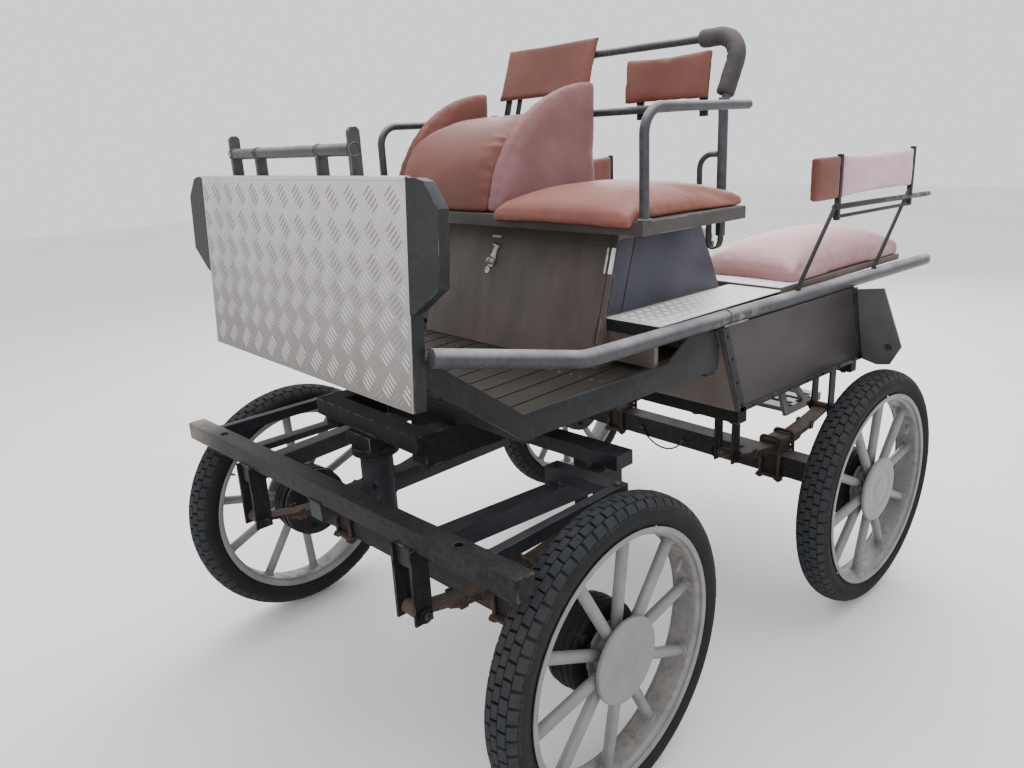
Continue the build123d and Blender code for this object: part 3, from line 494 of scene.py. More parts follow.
    def weld(self, pts, r=2.6, closed=False):
        """A lumpy bead along a path."""
        pts = resample(pts, 2.6, closed)
        if len(pts) < 2:
            return self
        rad = [r * (0.82 + 0.22 * math.sin(i * 2.1) + 0.18 * random.random()) for i in range(len(pts))]
        return self.tube(pts, r, 7, "round" if not closed else "cap", closed, 0.35, rad)

    def ring_weld(self, c, d, r, bead=2.6):
        c, d = Vector(c), Vector(d).normalized()
        s = d.orthogonal().normalized()
        u = d.cross(s)
        return self.weld([c + (s * math.cos(a) + u * math.sin(a)) * r for a in np.linspace(0, 2 * math.pi, 24, endpoint=False)], bead, True)

    def bolt(self, p, d, af=13.0, h=7.0, washer=True, stud=0.0):
        tf = aim(p, d)
        if washer:
            self.lathe([(0, 0), (0, af * 0.86), (0.5, af * 0.95), (1.5, af * 0.95), (2.0, af * 0.9), (2.0, 0)], 20, tf)
        R = af / 2 / math.cos(math.pi / 6)
        vs, x0 = [], 1.8 if washer else 0.0
        for x, k in ((x0, 1.0), (h - 1.0, 1.0), (h, 0.86)):
            for i in range(6):
                a = math.pi / 3 * i + p[0] * 0.37 + p[1] * 0.11
                vs.append((x, R * k * math.cos(a), R * k * math.sin(a)))
        fs = [(k * 6 + i, k * 6 + (i + 1) % 6, (k + 1) * 6 + (i + 1) % 6, (k + 1) * 6 + i) for k in (0, 1) for i in range(6)]
        fs += [tuple(range(12, 18)), tuple(range(5, -1, -1))]
        self.add(vs, fs, [0] * 6 + [0.4] * 12, tf)
        if stud:
            self.lathe([(h - 1, 0), (h - 1, af * 0.3), (h + stud - 1, af * 0.3), (h + stud, af * 0.22), (h + stud, 0)], 12, tf)
        return self

    def screw(self, p, d, r=4.0, h=1.6):
        """A domed head with a cross slot's dimple."""
        return self.lathe([(-0.5, 0), (-0.5, r), (h * 0.35, r * 0.95), (h * 0.8, r * 0.62), (h, r * 0.3), (h * 0.45, r * 0.16), (h * 0.45, 0)], 12, aim(p, d))


def aim(p, d):
    """A frame whose x axis points along d from p."""
    x = Vector(d).normalized()
    y = x.orthogonal().normalized()
    z = x.cross(y)
    m = Matrix((x, y, z)).transposed().to_4x4()
    m.translation = Vector(p)
    return m


def resample(pts, step, closed=False):
    pts = [Vector(p) for p in pts]
    if closed:
        pts = pts + [pts[0]]
    out, carry = [pts[0]], 0.0
    for a, b in zip(pts, pts[1:]):
        L = (b - a).length
        if L < 1e-6:
            continue
        t = step - carry
        while t < L:
            out.append(a + (b - a) * (t / L))
            t += step
        carry = L - (t - step)
    if not closed and (out[-1] - pts[-1]).length > step * 0.3:
        out.append(pts[-1])
    return out


def route(pts, radii, n=10):
    """A polyline whose corners are rounded by arcs of the given radii."""
    pts = [Vector(p) for p in pts]
    if not isinstance(radii, (list, tuple)):
        radii = [radii] * (len(pts) - 2)
    out = [pts[0]]
    for i in range(1, len(pts) - 1):
        a, b, c = pts[i - 1], pts[i], pts[i + 1]
        u, w = (a - b).normalized(), (c - b).normalized()
        ang = u.angle(w)
        t = radii[i - 1] / math.tan(ang / 2)
        p, q = b + u * t, b + w * t
        cen = b + (u + w).normalized() * (radii[i - 1] / math.sin(ang / 2))
        v0, v1 = p - cen, q - cen
        tot = v0.angle(v1)
        for k in range(n + 1):
            f = k / n
            s0, s1 = math.sin((1 - f) * tot) / math.sin(tot), math.sin(f * tot) / math.sin(tot)
            out.append(cen + v0 * s0 + v1 * s1)
    out.append(pts[-1])
    return out


def finish_mesh(me, mat, sharp):
    me.validate()
    bm = bmesh.new()
    bm.from_mesh(me)
    bmesh.ops.recalc_face_normals(bm, faces=bm.faces)
    bm.to_mesh(me)
    bm.free()
    me.polygons.foreach_set("use_smooth", [True] * len(me.polygons))
    me.set_sharp_from_angle(angle=math.radians(sharp))
    me.materials.clear()
    me.materials.append(mat)
    me.update()


def place(ob, body, slot, cad=()):
    bpy.context.scene.collection.objects.link(ob)
    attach(ob, body)
    if cad:
        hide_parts(*cad)
        LEAVE.update(cad)
    return ob


def piece(name, shape, mat, body, slot, tf=ROOT, cad=(), sharp=24.0, attrs=None):
    me = bpy.data.meshes.new(name)
    me.from_pydata([tf @ Vector(p) for p in shape.v], [], shape.f)
    a = me.attributes.new("edge", "FLOAT", "POINT")
    a.data.foreach_set("value", shape.at)
    for k, vals in (attrs or {}).items():
        a = me.attributes.new(k, "FLOAT", "POINT")
        a.data.foreach_set("value", vals)
    finish_mesh(me, mat, sharp)
    return place(bpy.data.objects.new(name, me), body, slot, cad)


def worn(node, mat, width=1.5, welds=0.0, name=None, slot=None, sharp=24.0):
    """The CAD node's form with its outer edges rounded and weld beads in its inner corners."""
    src = NODES[node]
    bm = bmesh.new()
    bm.from_mesh(src.data)
    bmesh.ops.remove_doubles(bm, verts=bm.verts, dist=1.5e-5)
    bmesh.ops.dissolve_degenerate(bm, dist=1e-5, edges=bm.edges)
    bmesh.ops.dissolve_limit(bm, angle_limit=math.radians(0.8), verts=bm.verts, edges=bm.edges)
    bmesh.ops.recalc_face_normals(bm, faces=bm.faces)
    beads = Shape()
    if welds:
        lim = math.radians(35)
        es = [e for e in bm.edges if e.is_manifold and e.calc_face_angle_signed(0.0) < -lim]
        for path, ring in chains(es):
            L = sum((a - b).length for a, b in zip(path, path[1:]))
            if L > 0.012:
                beads.weld([p * 1000 for p in path], welds, ring)
    at = bevel_edges(bm, width * 0.001)
    me = bpy.data.meshes.new(name or node + "_form")
    bm.to_mesh(me)
    bm.free()
    a = me.attributes.new("edge", "FLOAT", "POINT")
    a.data.foreach_set("value", at)
    finish_mesh(me, mat, sharp)
    body = src["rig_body"]
    slot = slot or SLOT[node]
    place(bpy.data.objects.new(name or node + "_form", me), body, slot, (node,))
    if beads.v:
        piece(node + "_welds", beads, mat, body, slot, Matrix.Scale(0.001, 4), sharp=60)


def chains(edges):
    """Runs of joined edges, as point lists, and whether each closes on itself."""
    left = set(edges)
    ends = {}
    for e in edges:
        for v in e.verts:
            ends.setdefault(v, []).append(e)
    out = []
    while left:
        e = left.pop()
        run = [e.verts[0], e.verts[1]]
        for side in (0, 1):
            while True:
                tip = run[-1] if side else run[0]
                prev = run[-2] if side else run[1]
                nxt = [x for x in ends[tip] if x in left]
                if not nxt or len(ends[tip]) > 2 and len(run) > 2:
                    d0 = (tip.co - prev.co).normalized()
                    nxt = [x for x in nxt if (x.other_vert(tip).co - tip.co).normalized().dot(d0) > 0.8]
                if not nxt:
                    break
                left.discard(nxt[0])
                w = nxt[0].other_vert(tip)
                run = run + [w] if side else [w] + run
                if w is (run[0] if side else run[-1]):
                    break
        ring = run[0] is run[-1] and len(run) > 3
        pts = [v.co.copy() for v in (run[:-1] if ring else run)]
        out.append((pts, ring))
    return out


SLOT = {s["node"]: s["material_slot"] for s in frame["record"]["subparts"]}


def turned(pts, a):
    """Points of the x-y plane turned about the origin."""
    c, s = math.cos(a), math.sin(a)
    return [(x * c - y * s, x * s + y * c) for x, y in pts]


# --------------------------------------------------------------------- wheels
def crown(x):
    """The tread's outer radius at x across the tyre."""
    return 268.0 + 41.3 * max(0.0, 1.0 - abs(x / 41.2) ** 2.4) ** (1 / 2.4)


def tyre_shape(seed):
    rnd = random.Random(seed)
    s = Shape()
    prof, mk = [], []
    for x, r in ((27.5, 253.0), (30.5, 253.0), (32.5, 255.5), (33.2, 259.0), (34.2, 261.5), (35.0, 262.0), (35.6, 263.5), (37.4, 268.0), (38.4, 270.2),
                 (38.9, 270.8), (39.3, 272.5), (39.7, 277.0), (39.4, 281.0), (38.4, 285.0), (36.9, 289.0), (34.5, 293.0), (31.0, 296.6), (25.5, 299.6),
                 (18.0, 301.7), (9.0, 302.8), (0.0, 303.1)):
        # the sidewalls are marked a little for the tyre's painted sheen
        prof.append((x, r)); mk.append(0.25 if r < 290 else 0.0)
    full = prof + [(-x, r) for x, r in prof[:-1]][::-1]
    s.lathe(full, 132, closed=True, mark=mk + mk[:-1][::-1])
    n = 66
    rows = [(-38.6, -24.2, 0.0, 1.0), (-22.4, -8.3, 0.5, 1.0), (-6.9, 6.9, 0.0, 1.0), (8.3, 22.4, 0.5, 1.0), (24.2, 38.6, 0.0, 1.0)]
    for i in range(n):
        for x0, x1, ph, wide in rows:
            a0 = 2 * math.pi * (i + ph) / n + rnd.uniform(-0.0015, 0.0015)
            half = 0.5 * 2 * math.pi / n * (0.80 if abs(x0 + x1) > 50 else 0.84) * wide
            slant = 0.02 / 300.0 * (1 if x0 + x1 > 0 else -1)
            xm = (x0 + x1) / 2
            dr = rnd.uniform(-0.4, 0.15)
            vs, at = [], []
            side = abs(xm) > 25
            # each block's top ring is marked fully and its upper sides partly, for the painted sheen and top light
            for lift, grow, top in ((-7.5 if not side else -9.0, 1.1, 0.0), (-1.1, 0.35, 0.6), (0.0, -0.55, 1.0)):
                for t in (-1, 1):
                    for k in range(4 if side else 3):
                        f = k / (3.0 if side else 2.0)
                        x = x0 - grow + (x1 - x0 + 2 * grow) * f
                        r = crown(x) + lift + dr
                        if side and abs(x) > 36.5:
                            r = min(r, crown(36.5) + lift + dr - (abs(x) - 36.5) * 3.2)
                            x = math.copysign(min(abs(x), 39.2 + (0.0 if lift > -2 else -1.2)), x)
                        a = a0 + t * (half + grow / 300.0) + slant * (x - xm) * (12.0 if not side else 6.0) * 0.55
                        vs.append((x, r * math.cos(a), r * math.sin(a))); at.append(top)
            w = 4 if side else 3
            fs = []
            for lay in (0, 1):
                o, p = lay * 2 * w, (lay + 1) * 2 * w
                for t in (0, 1):
                    for k in range(w - 1):
                        fs.append((o + t * w + k, o + t * w + k + 1, p + t * w + k + 1, p + t * w + k))
                for k in (0, w - 1):
                    fs.append((o + k, o + w + k, p + w + k, p + k))
            o = 4 * w
            for k in range(w - 1):
                fs.append((o + k, o + k + 1, o + w + k + 1, o + w + k))
                fs.append((k, k + 1, w + k + 1, w + k))
            s.add(vs, fs, at)
    return s


def wheel_shape(phase, seed):
    """Rim, tubular spokes with their weld collars, barrel and hub flange."""
    rnd = random.Random(seed)
    s = Shape()
    out = [(33.8, 252.6), (35.2, 252.8), (36.2, 251.8), (36.4, 250.0), (35.9, 243.4), (35.3, 241.6), (33.8, 240.9), (31.6, 241.4), (29.0, 241.0), (27.0, 238.6), (25.6, 236.0),
           (23.6, 234.6), (20.0, 234.0), (10.0, 233.8), (0.0, 233.7)]
    inn = [(0.0, 236.2), (10.0, 236.4), (17.4, 237.0), (20.4, 239.4), (24.5, 243.6), (29.0, 246.2), (31.0, 249.5), (32.0, 251.5)]
    prof = out + [(-x, r) for x, r in out[:-1]][::-1] + [(-x, r) for x, r in inn[1:]][::-1] + inn
    s.lathe(prof, 144, closed=True)
    # barrel and inner flange
    s.lathe([(24.0, 15.2), (24.0, 44.0), (22.6, 46.5), (21.0, 44.2), (-11.0, 44.2), (-12.0, 46.0), (-12.0, 58.8), (-13.0, 60.0), (-17.2, 60.0), (-18.0, 59.0),
             (-18.0, 15.2)], 64, closed=True)
    for i in range(10):
        a = math.radians(phase + 36.0 * i)
        x = 13.0 if i % 2 else -1.0
        c, sn = math.cos(a), math.sin(a)
        p = lambda t: Vector((x + (x * 0.3 - x) * (t - 38.0) / 200.0, t * c, t * sn))
        d = p(238.0) - p(38.0)
        s.tube([p(t) for t in (40, 90, 140, 190, 237)], 11.4, 24, "cap")
        # collars where the spoke meets the barrel and the rim
        for t, rr, bead in ((46.5, 12.0, 3.0), (232.5, 12.0, 3.1)):
            s.ring_weld(p(t), d, rr, bead)
    # the valve: its stem, cap and nut
    a = math.radians(phase + 18.0)
    v0 = Vector((6.0, 236.0 * math.cos(a), 236.0 * math.sin(a)))
    di = Vector((0.25, -math.cos(a), -math.sin(a)))
    s.tube([v0, v0 + di * 8, v0 + di * 24], 4.2, 12, "cap")
    s.tube([v0 + di * 23, v0 + di * 33], 3.2, 12, "cap")
    s.bolt(tuple(v0 - di * 1.5), di, 11, 4.5)
    return s


def hub_cover():
    s = Shape()
    R = 84.0
    s.lathe([(24.2, 0.0), (24.2, R - 4), (24.8, R - 1.2), (26.4, R), (29.8, R), (32.2, R - 1.0), (33.4, R - 3.0), (33.9, R - 8.0), (34.0, 58.0), (34.0, 52.0), (33.5, 51.0),
             (33.5, 30.0), (34.0, 29.0), (34.1, 14.0), (34.0, 0.0)], 96, mark=[0] * 4 + [0.7, 0.9, 0.5] + [0] * 8)
    return s


def drum_shape():
    s = Shape()
    s.lathe([(-18.2, 15.2), (-18.2, 52.0), (-19.6, 54.0), (-19.6, 70.0), (-18.4, 73.0), (-18.4, 78.0), (-22.0, 90.5), (-24.5, 92.0), (-30.0, 92.0), (-31.2, 90.2),
             (-34.2, 90.2), (-35.4, 92.0), (-46.0, 92.0), (-47.2, 90.4), (-50.2, 90.4), (-51.4, 92.0), (-62.0, 92.0), (-63.0, 93.0), (-69.0, 93.0), (-70.0, 92.2),
             (-70.0, 85.2), (-27.2, 85.0), (-27.2, 15.2)], 96, closed=True)
    for i in range(8):
        a = 2 * math.pi * i / 8 + 0.2
        s.bolt((-19.2, 62 * math.cos(a), 62 * math.sin(a)), (1, 0, 0), 10, 5, False)
    return s


def build_wheels():
    for tag, side, wy, on_bogie, phase in (("fl", 1, 0.0, True, 10), ("fr", -1, 0.0, True, 15), ("rl", 1, 1025.0, False, 10), ("rr", -1, 1025.0, False, 19)):
        base = BOGIE if on_bogie else ROOT
        tf = base @ Matrix.Translation((side * 550.0, wy, 310.0)) @ (Matrix.Rotation(math.pi, 4, "Z") if side < 0 else Matrix.Identity(4))
        body = "wheel_" + tag
        piece("tyre_%s_tread" % tag, tyre_shape(tag), M["tyre"], body, "tyre", tf, ("tyre_" + tag,), sharp=32)
        w = wheel_shape(phase, tag)
        rust = []
        for x, y, z in w.v:
            r = math.hypot(y, z)
            k = max(0.0, min(1.0, (r - 205.0) / 28.0)) if r < 240 else 0.55
            if abs(x) > 33 and r > 242:
                k = 0.25
            if r < 62:
                k = max(k, 0.75)
            if 62 <= r < 86:
                k = 0.5
            rust.append(k)
        piece("wheel_%s_spokes" % tag, w, M["wheel"], body, "silver_paint", tf, ("wheel_" + tag,), sharp=34, attrs={"rust": rust})
        piece("wheel_%s_cover" % tag, hub_cover(), M["hub"], body, "silver_paint", tf, sharp=34)
        piece("drum_%s_shell" % tag, drum_shape(), M["drum"], body, "drum_iron", tf, ("brake_drum_" + tag,), sharp=30)


# -------------------------------------------------------------- running gear
def spring_pack(x, y, z, saddle, beam):
    """Three leaves with rolled eyes, their clips, seat, U-bolts and nuts."""
    s = Shape()
    h, rise = 250.0, 34.0
    rad = (h * h + rise * rise) / (2 * rise)
    for k, half in enumerate((h, h * 0.72, h * 0.42)):
        zc = z - k * 8.0 + rad
        n = 28
        vs, at = [], []
        for i in range(n + 1):
            u = -half + 2 * half * i / n
            w = 21.6 if k == 0 else 21.6 * min(1.0, 0.72 + (half - abs(u)) / 60.0)
            for rr, sgn in ((rad - 3.7, 1), (rad + 3.7, -1)):
                zz = zc - math.sqrt(rr * rr - u * u)
                for q, ww in ((-1, w), (1, w)):
                    vs.append((x + q * ww, y + u, zz)); at.append(0.0)
        fs = []
        for i in range(n):
            a, b = i * 4, (i + 1) * 4
            fs += [(a, a + 1, b + 1, b), (a + 2, b + 2, b + 3, a + 3), (a, b, b + 2, a + 2), (a + 1, a + 3, b + 3, b + 1)]
        fs += [(0, 2, 3, 1), (n * 4, n * 4 + 1, n * 4 + 3, n * 4 + 2)]
        s.add(vs, fs, at)
    for q in (-1, 1):
        tf = Matrix.Translation((x, y + q * h, z + rise))
        s.lathe([(-21.8, 7.4), (-21.8, 13.0), (-21.0, 13.9), (21.0, 13.9), (21.8, 13.0), (21.8, 7.4)], 32, tf, True)
        s.bolt((x, y + q * h * 0.36, z - 12), (0, 0, -1), 10, 8, False)
        u = q * h * 0.60
        zz = z + rad - math.sqrt(rad * rad - u * u)
        s.box(x - 24, x + 24, y + u - 9, y + u + 9, zz - 15.5, zz - 12.0 + 1.5, 0.8)
        for e in (-1, 1):
            s.box(x + e * 22.2 - 1.6, x + e * 22.2 + 1.6, y + u - 9, y + u + 9, zz - 15, zz + 10, 0.7)
    s.box(x - 26, x + 26, y - 34, y + 34, saddle + 0.2, z - 19.5, 1.5)
    s.box(x - 26, x + 26, y - beam / 2 - 12, y + beam / 2 + 12, z + 4.2, z + 12, 1.5)
    s.box(x - 36, x + 36, y - beam / 2 - 14, y + beam / 2 + 14, saddle - beam - 8, saddle - beam - 0.2, 1.5)
    for dy in (-beam / 2 - 6.0, beam / 2 + 6.0):
        top = z + 19
        s.tube(route([(x - 29, y + dy, saddle - beam - 16), (x - 29, y + dy, top), (x + 29, y + dy, top), (x + 29, y + dy, saddle - beam - 16)], 11, 6), 5.0, 12, "cap")
        for dx in (-29, 29):
            s.bolt((x + dx, y + dy, saddle - beam - 8), (0, 0, -1), 14, 7, True)
    return s


def build_gear():
    both = (1, -1)
    f = Shape()
    for q in both:
        p = spring_pack(q * 290.0, 0, 384.0, 335.0, 50.0)
        f.add(p.v, p.f, p.at)
    piece("front_spring_leaves", f, M["spring"], "front_bogie", "spring_steel", BOGIE, ("front_springs",), sharp=30)
    r = Shape()
    for q in both:
        p = spring_pack(q * 287.0, 1025.0, 372.0, 340.0, 60.0)
        r.add(p.v, p.f, p.at)
    piece("rear_spring_leaves", r, M["spring"], "root", "spring_steel", ROOT, ("rear_springs",), sharp=30)

    worn("front_axle", M["axle"], 1.6, 3.0)
    worn("rear_axle", M["axle"], 1.6, 3.0)
    worn("bogie_frame", M["steel_blue"], 2.2, 3.0)
    worn("front_spring_hangers", M["gear"], 1.2, 2.0)
    worn("rear_spring_hangers", M["gear"], 1.2, 2.0)
    worn("turntable_upper", M["gear"], 1.2, 2.6)
    worn("chassis_frame", M["gear"], 2.4, 3.0)
    worn("tub_underframe", M["gear"], 2.2, 3.0)
    worn("rear_step", M["step"], 1.6, 2.2)

    # wide front cross beam: a square tube with end plates
    worn("splinter_bar", M["splinter"], 3.0, 0.0)
    s = Shape()
    for q in both:
        s.box(q * 572 - (0 if q > 0 else 2.2), q * 572 + (2.2 if q > 0 else 0), -258.5, -223.5, 552.5, 587.5, 0.9)
        s.weld([(q * 572.4, -259.6, 551.4), (q * 572.4, -222.4, 551.4), (q * 572.4, -222.4, 588.6), (q * 572.4, -259.6, 588.6)], 1.5, True)
        s.weld([(q * 270, -262, 550.3), (q * 310, -262, 550.3)], 2.4)
        s.weld([(q * 270, -220.4, 550.3), (q * 310, -220.4, 550.3)], 2.4)
        s.weld([(q * 468, -220.6, 566), (q * 468, -220.6, 589)], 2.2)
        s.weld([(q * 488, -220.6, 566), (q * 488, -220.6, 589)], 2.2)
        # weld beads round the shaft pin holes' bushes
        s.ring_weld((q * 420, -241, 590.1), (0, 0, 1), 9.6, 1.1)
    s.weld([(-20, -262, 550.3), (20, -262, 550.3)], 2.4)
    piece("splinter_bar_ends", s, M["splinter"], "front_bogie", "black_steel", BOGIE, sharp=40)

    # bolts, nuts and grease nipples of the bogie
    s = Shape()
    for q in both:
        for y in (-250.0, 250.0):
            for e in (1, -1):
                s.bolt((q * 290 + e * 35.0, y, 418.0), (e, 0, 0), 15, 8, True, 4 if e * q < 0 else 0)
        s.bolt((q * 478, 109, 590), (0, 0, 1), 11, 5)
        s.bolt((q * 330, 109, 590), (0, 0, 1), 11, 5)
    kx, ky = -5.58, -99.84
    s.tube([(kx + 24, ky - 25, 540), (kx + 33, ky - 34, 540)], 3.6, 10, "cap")
    s.tube([(kx + 33, ky - 34, 540), (kx + 36, ky - 37, 540)], 2.4, 10, "round")
    piece("bogie_bolts", s, M["gear"], "front_bogie", "black_steel", BOGIE, sharp=30)

    # kingpin nut, underframe and rear spring bolts
    s = Shape()
    s.bolt((0, -100, 450), (0, 0, -1), 46, 14, True, 4)
    for q in both:
        for y in (775.0, 1275.0):
            for e in (1, -1):
                s.bolt((q * 287 + e * 35.0, y, 406.0), (e, 0, 0), 17, 10, True, 5 if e * q < 0 else 0)
        for y in (576.0, 1096.0):
            for x in (430.0, 330.0, 120.0):
                s.bolt((q * x, y, 588.0), (0, 0, -1), 13, 7)
        for y in (-60.0, 150.0, 400.0):
            s.bolt((q * 170, y, 623), (0, 0, -1), 13, 7)
    piece("underframe_bolts", s, M["gear"], "root", "black_steel", ROOT, sharp=30)

    # brake back plates' levers and their short rigid lines
    for body, tf, y0, nm in (("front_bogie", BOGIE, 0.0, "front"), ("root", ROOT, 1025.0, "rear")):
        s = Shape()
        for q in both:
            x = q * 465.0
            for k in range(6):
                a = math.pi / 3 * k + 0.3
                s.bolt((x, y0 + 66 * math.cos(a), 310 + 66 * math.sin(a)), (-q, 0, 0), 11, 6, False)
            s.box(x - q * 16 if q > 0 else x, x if q > 0 else x - q * 16, y0 - 30, y0 + 34, 356, 378, 3.0)
            s.tube(route([(x - q * 9, y0 + 30, 367), (x - q * 9, y0 + 62, 367), (q * 420, y0 + 62, 352), (q * 330, y0 + 31, 316)], [12, 20], 6), 2.6, 10, "cap")
            s.bolt((x - q * 9, y0 + 34, 367), (0, 1, 0), 9, 8, False)
            s.box(q * 380 - 7, q * 380 + 7, y0 + 22, y0 + 58, 326, 331, 0.8)
        piece(nm + "_brake_lines", s, M["drum"], body, "drum_iron", tf, sharp=34)

    # rigid brake pipe, bent in a shallow loop below the rear axle beam and held by two clips
    s = Shape()
    loop = [(-178, 991.6, 314), (-164, 991.6, 294), (-150, 991.6, 281), (-133, 991.6, 270), (-116, 991.6, 263), (-96, 991.6, 259), (-76, 991.6, 259),
            (-56, 991.6, 264), (-38, 991.6, 274), (-24, 991.6, 286), (-10, 991.6, 304)]
    s.tube(loop, 2.6, 12, "round")
    for x, z in ((-174, 308), (-13, 300)):
        s.box(x - 7, x + 7, 988.0, 995.2, z - 4.5, z + 4.5, 0.9)
    piece("rear_brake_pipe", s, M["rubber"], "root", "foam_rubber", ROOT, sharp=40)


# ------------------------------------------------------------------ dashboard
LEAN_D = math.radians(3.6)


def dash(x, n, s):
    """A point of the leaning dashboard: across, behind its front face, up the slope."""
    return (x, -252.0 + n * math.cos(LEAN_D) + s * math.sin(LEAN_D), 817.0 - n * math.sin(LEAN_D) + s * math.cos(LEAN_D))


DASH = Matrix.Translation((0, -252.0, 817.0)) @ Matrix.Rotation(-LEAN_D, 4, "X")


def tread_bars(s, u0, u1, v0, v1, pu, pv, put, length=29.0, wide=3.3, high=1.35, gap=7.3, off=(0.0, 0.0), seed=3, turn=38.0, second_lean_highlight=1.0):
    """Groups of five slim parallel bars, leaning one way and the other in turn; the edge attribute gives the bars of
    one leaning a painted highlight, and those of the other a weaker one and lower bars.
    """
    rnd = random.Random(seed)
    groups = []
    nu, nv = int((u1 - u0) / pu) + 2, int((v1 - v0) / pv) + 2
    for i in range(-1, nu):
        for j in range(-1, nv):
            # the first leaning carries the full painted highlight, the second the weaker one
            groups.append((u0 + off[0] + i * pu, v0 + off[1] + j * pv, math.radians(90.0 + turn), 1.0))
            groups.append((u0 + off[0] + (i + 0.5) * pu, v0 + off[1] + (j + 0.5) * pv, math.radians(90.0 - turn), second_lean_highlight))
    for cu, cv, ang, lit in groups:
        d = (math.cos(ang), math.sin(ang))
        n = (-d[1], d[0])
        for k in range(-2, 3):
            bu, bv = cu + n[0] * k * gap, cv + n[1] * k * gap
            L = length / 2 * (1.0 if abs(k) < 2 else 0.93)
            ends = []
            for sg in (1, -1):
                t = L
                for c, dd, lo, hi in ((bu, d[0] * sg, u0, u1), (bv, d[1] * sg, v0, v1)):
                    if abs(dd) > 1e-6:
                        t = min(t, ((hi if dd > 0 else lo) - c) / dd - 1.5)
                ends.append(t)
            if min(ends) < -L or ends[0] + ends[1] < 7 or not (u0 < bu < u1 and v0 < bv < v1):
                continue
            a, b = ends[0], -ends[1]
            mid, half = (a + b) / 2, (a - b) / 2
            vs, at = [], []
            for f, w in ((-1.0, 0.0), (-0.72, 0.78), (0.0, 1.0), (0.72, 0.78), (1.0, 0.0)):
                for e in ((-1, 1) if w else (0,)):
                    u = bu + d[0] * (mid + half * f) + n[0] * e * w * wide / 2
                    v = bv + d[1] * (mid + half * f) + n[1] * e * w * wide / 2
                    vs.append(put(min(max(u, u0), u1), min(max(v, v0), v1), -0.15)); at.append(0.45 * lit)
            hh = high * rnd.uniform(0.9, 1.05) * (0.55 + 0.45 * lit)
            for f, w in ((-0.74, 0.32), (0.0, 0.42), (0.74, 0.32)):
                for e in (-1, 1):
                    u = bu + d[0] * (mid + half * f) + n[0] * e * w * wide / 2
                    v = bv + d[1] * (mid + half * f) + n[1] * e * w * wide / 2
                    vs.append(put(min(max(u, u0), u1), min(max(v, v0), v1), hh * (1.0 if f == 0 else 0.8))); at.append(lit)
            # base: 0 | 1 2 | 3 4 | 5 6 | 7   top: 8 9 | 10 11 | 12 13
            fs = [(8, 9, 11, 10), (10, 11, 13, 12), (1, 8, 10, 3), (3, 10, 12, 5), (2, 4, 11, 9), (4, 6, 13, 11), (0, 8, 1), (0, 2, 9), (0, 9, 8),
                  (7, 5, 12), (7, 13, 6), (7, 12, 13), (0, 1, 3, 4, 2), (3, 5, 7, 6, 4)]
            s.add(vs, fs, at)
    return s


def build_dashboard():
    s = Shape()
    s.box(-385, 385, 0, 3, 0, 361, 0.6, DASH)
    # the bars leaning one way are painted bright and the others stay near plate colour: a painted highlight
    tread_bars(s, -383, 383, 3, 356, 60.5, 53.8, lambda u, v, h: DASH @ Vector((u, -h, v)), length=31.0, wide=4.4, high=1.5, gap=8.9,
               off=(37.5, 31.0), turn=50.0, second_lean_highlight=0.18)
    # folded lip over the top edge
    s.prism([(-1.6, 359), (-2.2, 361.5), (-1.6, 364.2), (1.0, 365.6), (8.0, 365.6), (10.2, 364.0), (10.4, 352), (8.6, 352), (8.4, 362.2), (1.6, 362.4)], "x", -385, 385, 0.5, DASH)
    # the folded lip along the top carries a painted highlight
    at = list(s.at)
    for i, (x, y, z) in enumerate(s.v):
        q = DASH.inverted() @ Vector((x, y, z))
        if q.z > 358.5:
            at[i] = max(at[i], 0.9)
    s.at = at
    piece("dashboard_tread", s, M["tread"], "root", "tread_plate", ROOT, ("dashboard_sheet",), sharp=40)
    worn("dashboard_frame", M["steel"], 0.8, 2.0)
    # bolts that hold the sheet to its frame, from behind
    s = Shape()
    for q in (1, -1):
        for x in (120, 300):
            for z in (14, 185, 349):
                s.bolt(tuple(DASH @ Vector((q * x, 25, z))), (0, 1, 0), 10, 5)
    piece("dashboard_bolts", s, M["gear"], "root", "black_steel", ROOT, sharp=30)
    # rein rail: a round bar on four flat posts
    s = Shape()
    s.tube([(-228, -216, 1222), (-100, -216, 1222), (0, -216, 1222), (100, -216, 1222), (228, -216, 1222)], 10.5, 28, "cap")
    for x, z in ((228, 1257), (-228, 1257), (118, 1222), (-118, 1222)):
        top = z if z > 1230 else z - 4
        s.prism([(-225, 1178.2), (-203, 1178.2), (-203, top - 6), (-208, top), (-220, top), (-225, top - 6)], "x", x - 4, x + 4, 1.2)
        for e in (-1, 1):
            s.ring_weld((x + e * 4.2, -216, 1222), (1, 0, 0), 10.9, 1.3)
        s.weld([(x - 4.3, -225, 1178.6), (x - 4.3, -203, 1178.6)], 1.6)
        s.weld([(x + 4.3, -225, 1178.6), (x + 4.3, -203, 1178.6)], 1.6)
    piece("rein_rail_bar", s, M["rail_dark"], "root", "black_steel", ROOT, ("rein_rail",), sharp=34)


# --------------------------------------------------------------- body and rails
def box_fy(z):
    return 262.0 + 83.0 * (z - 745.0) / 285.0


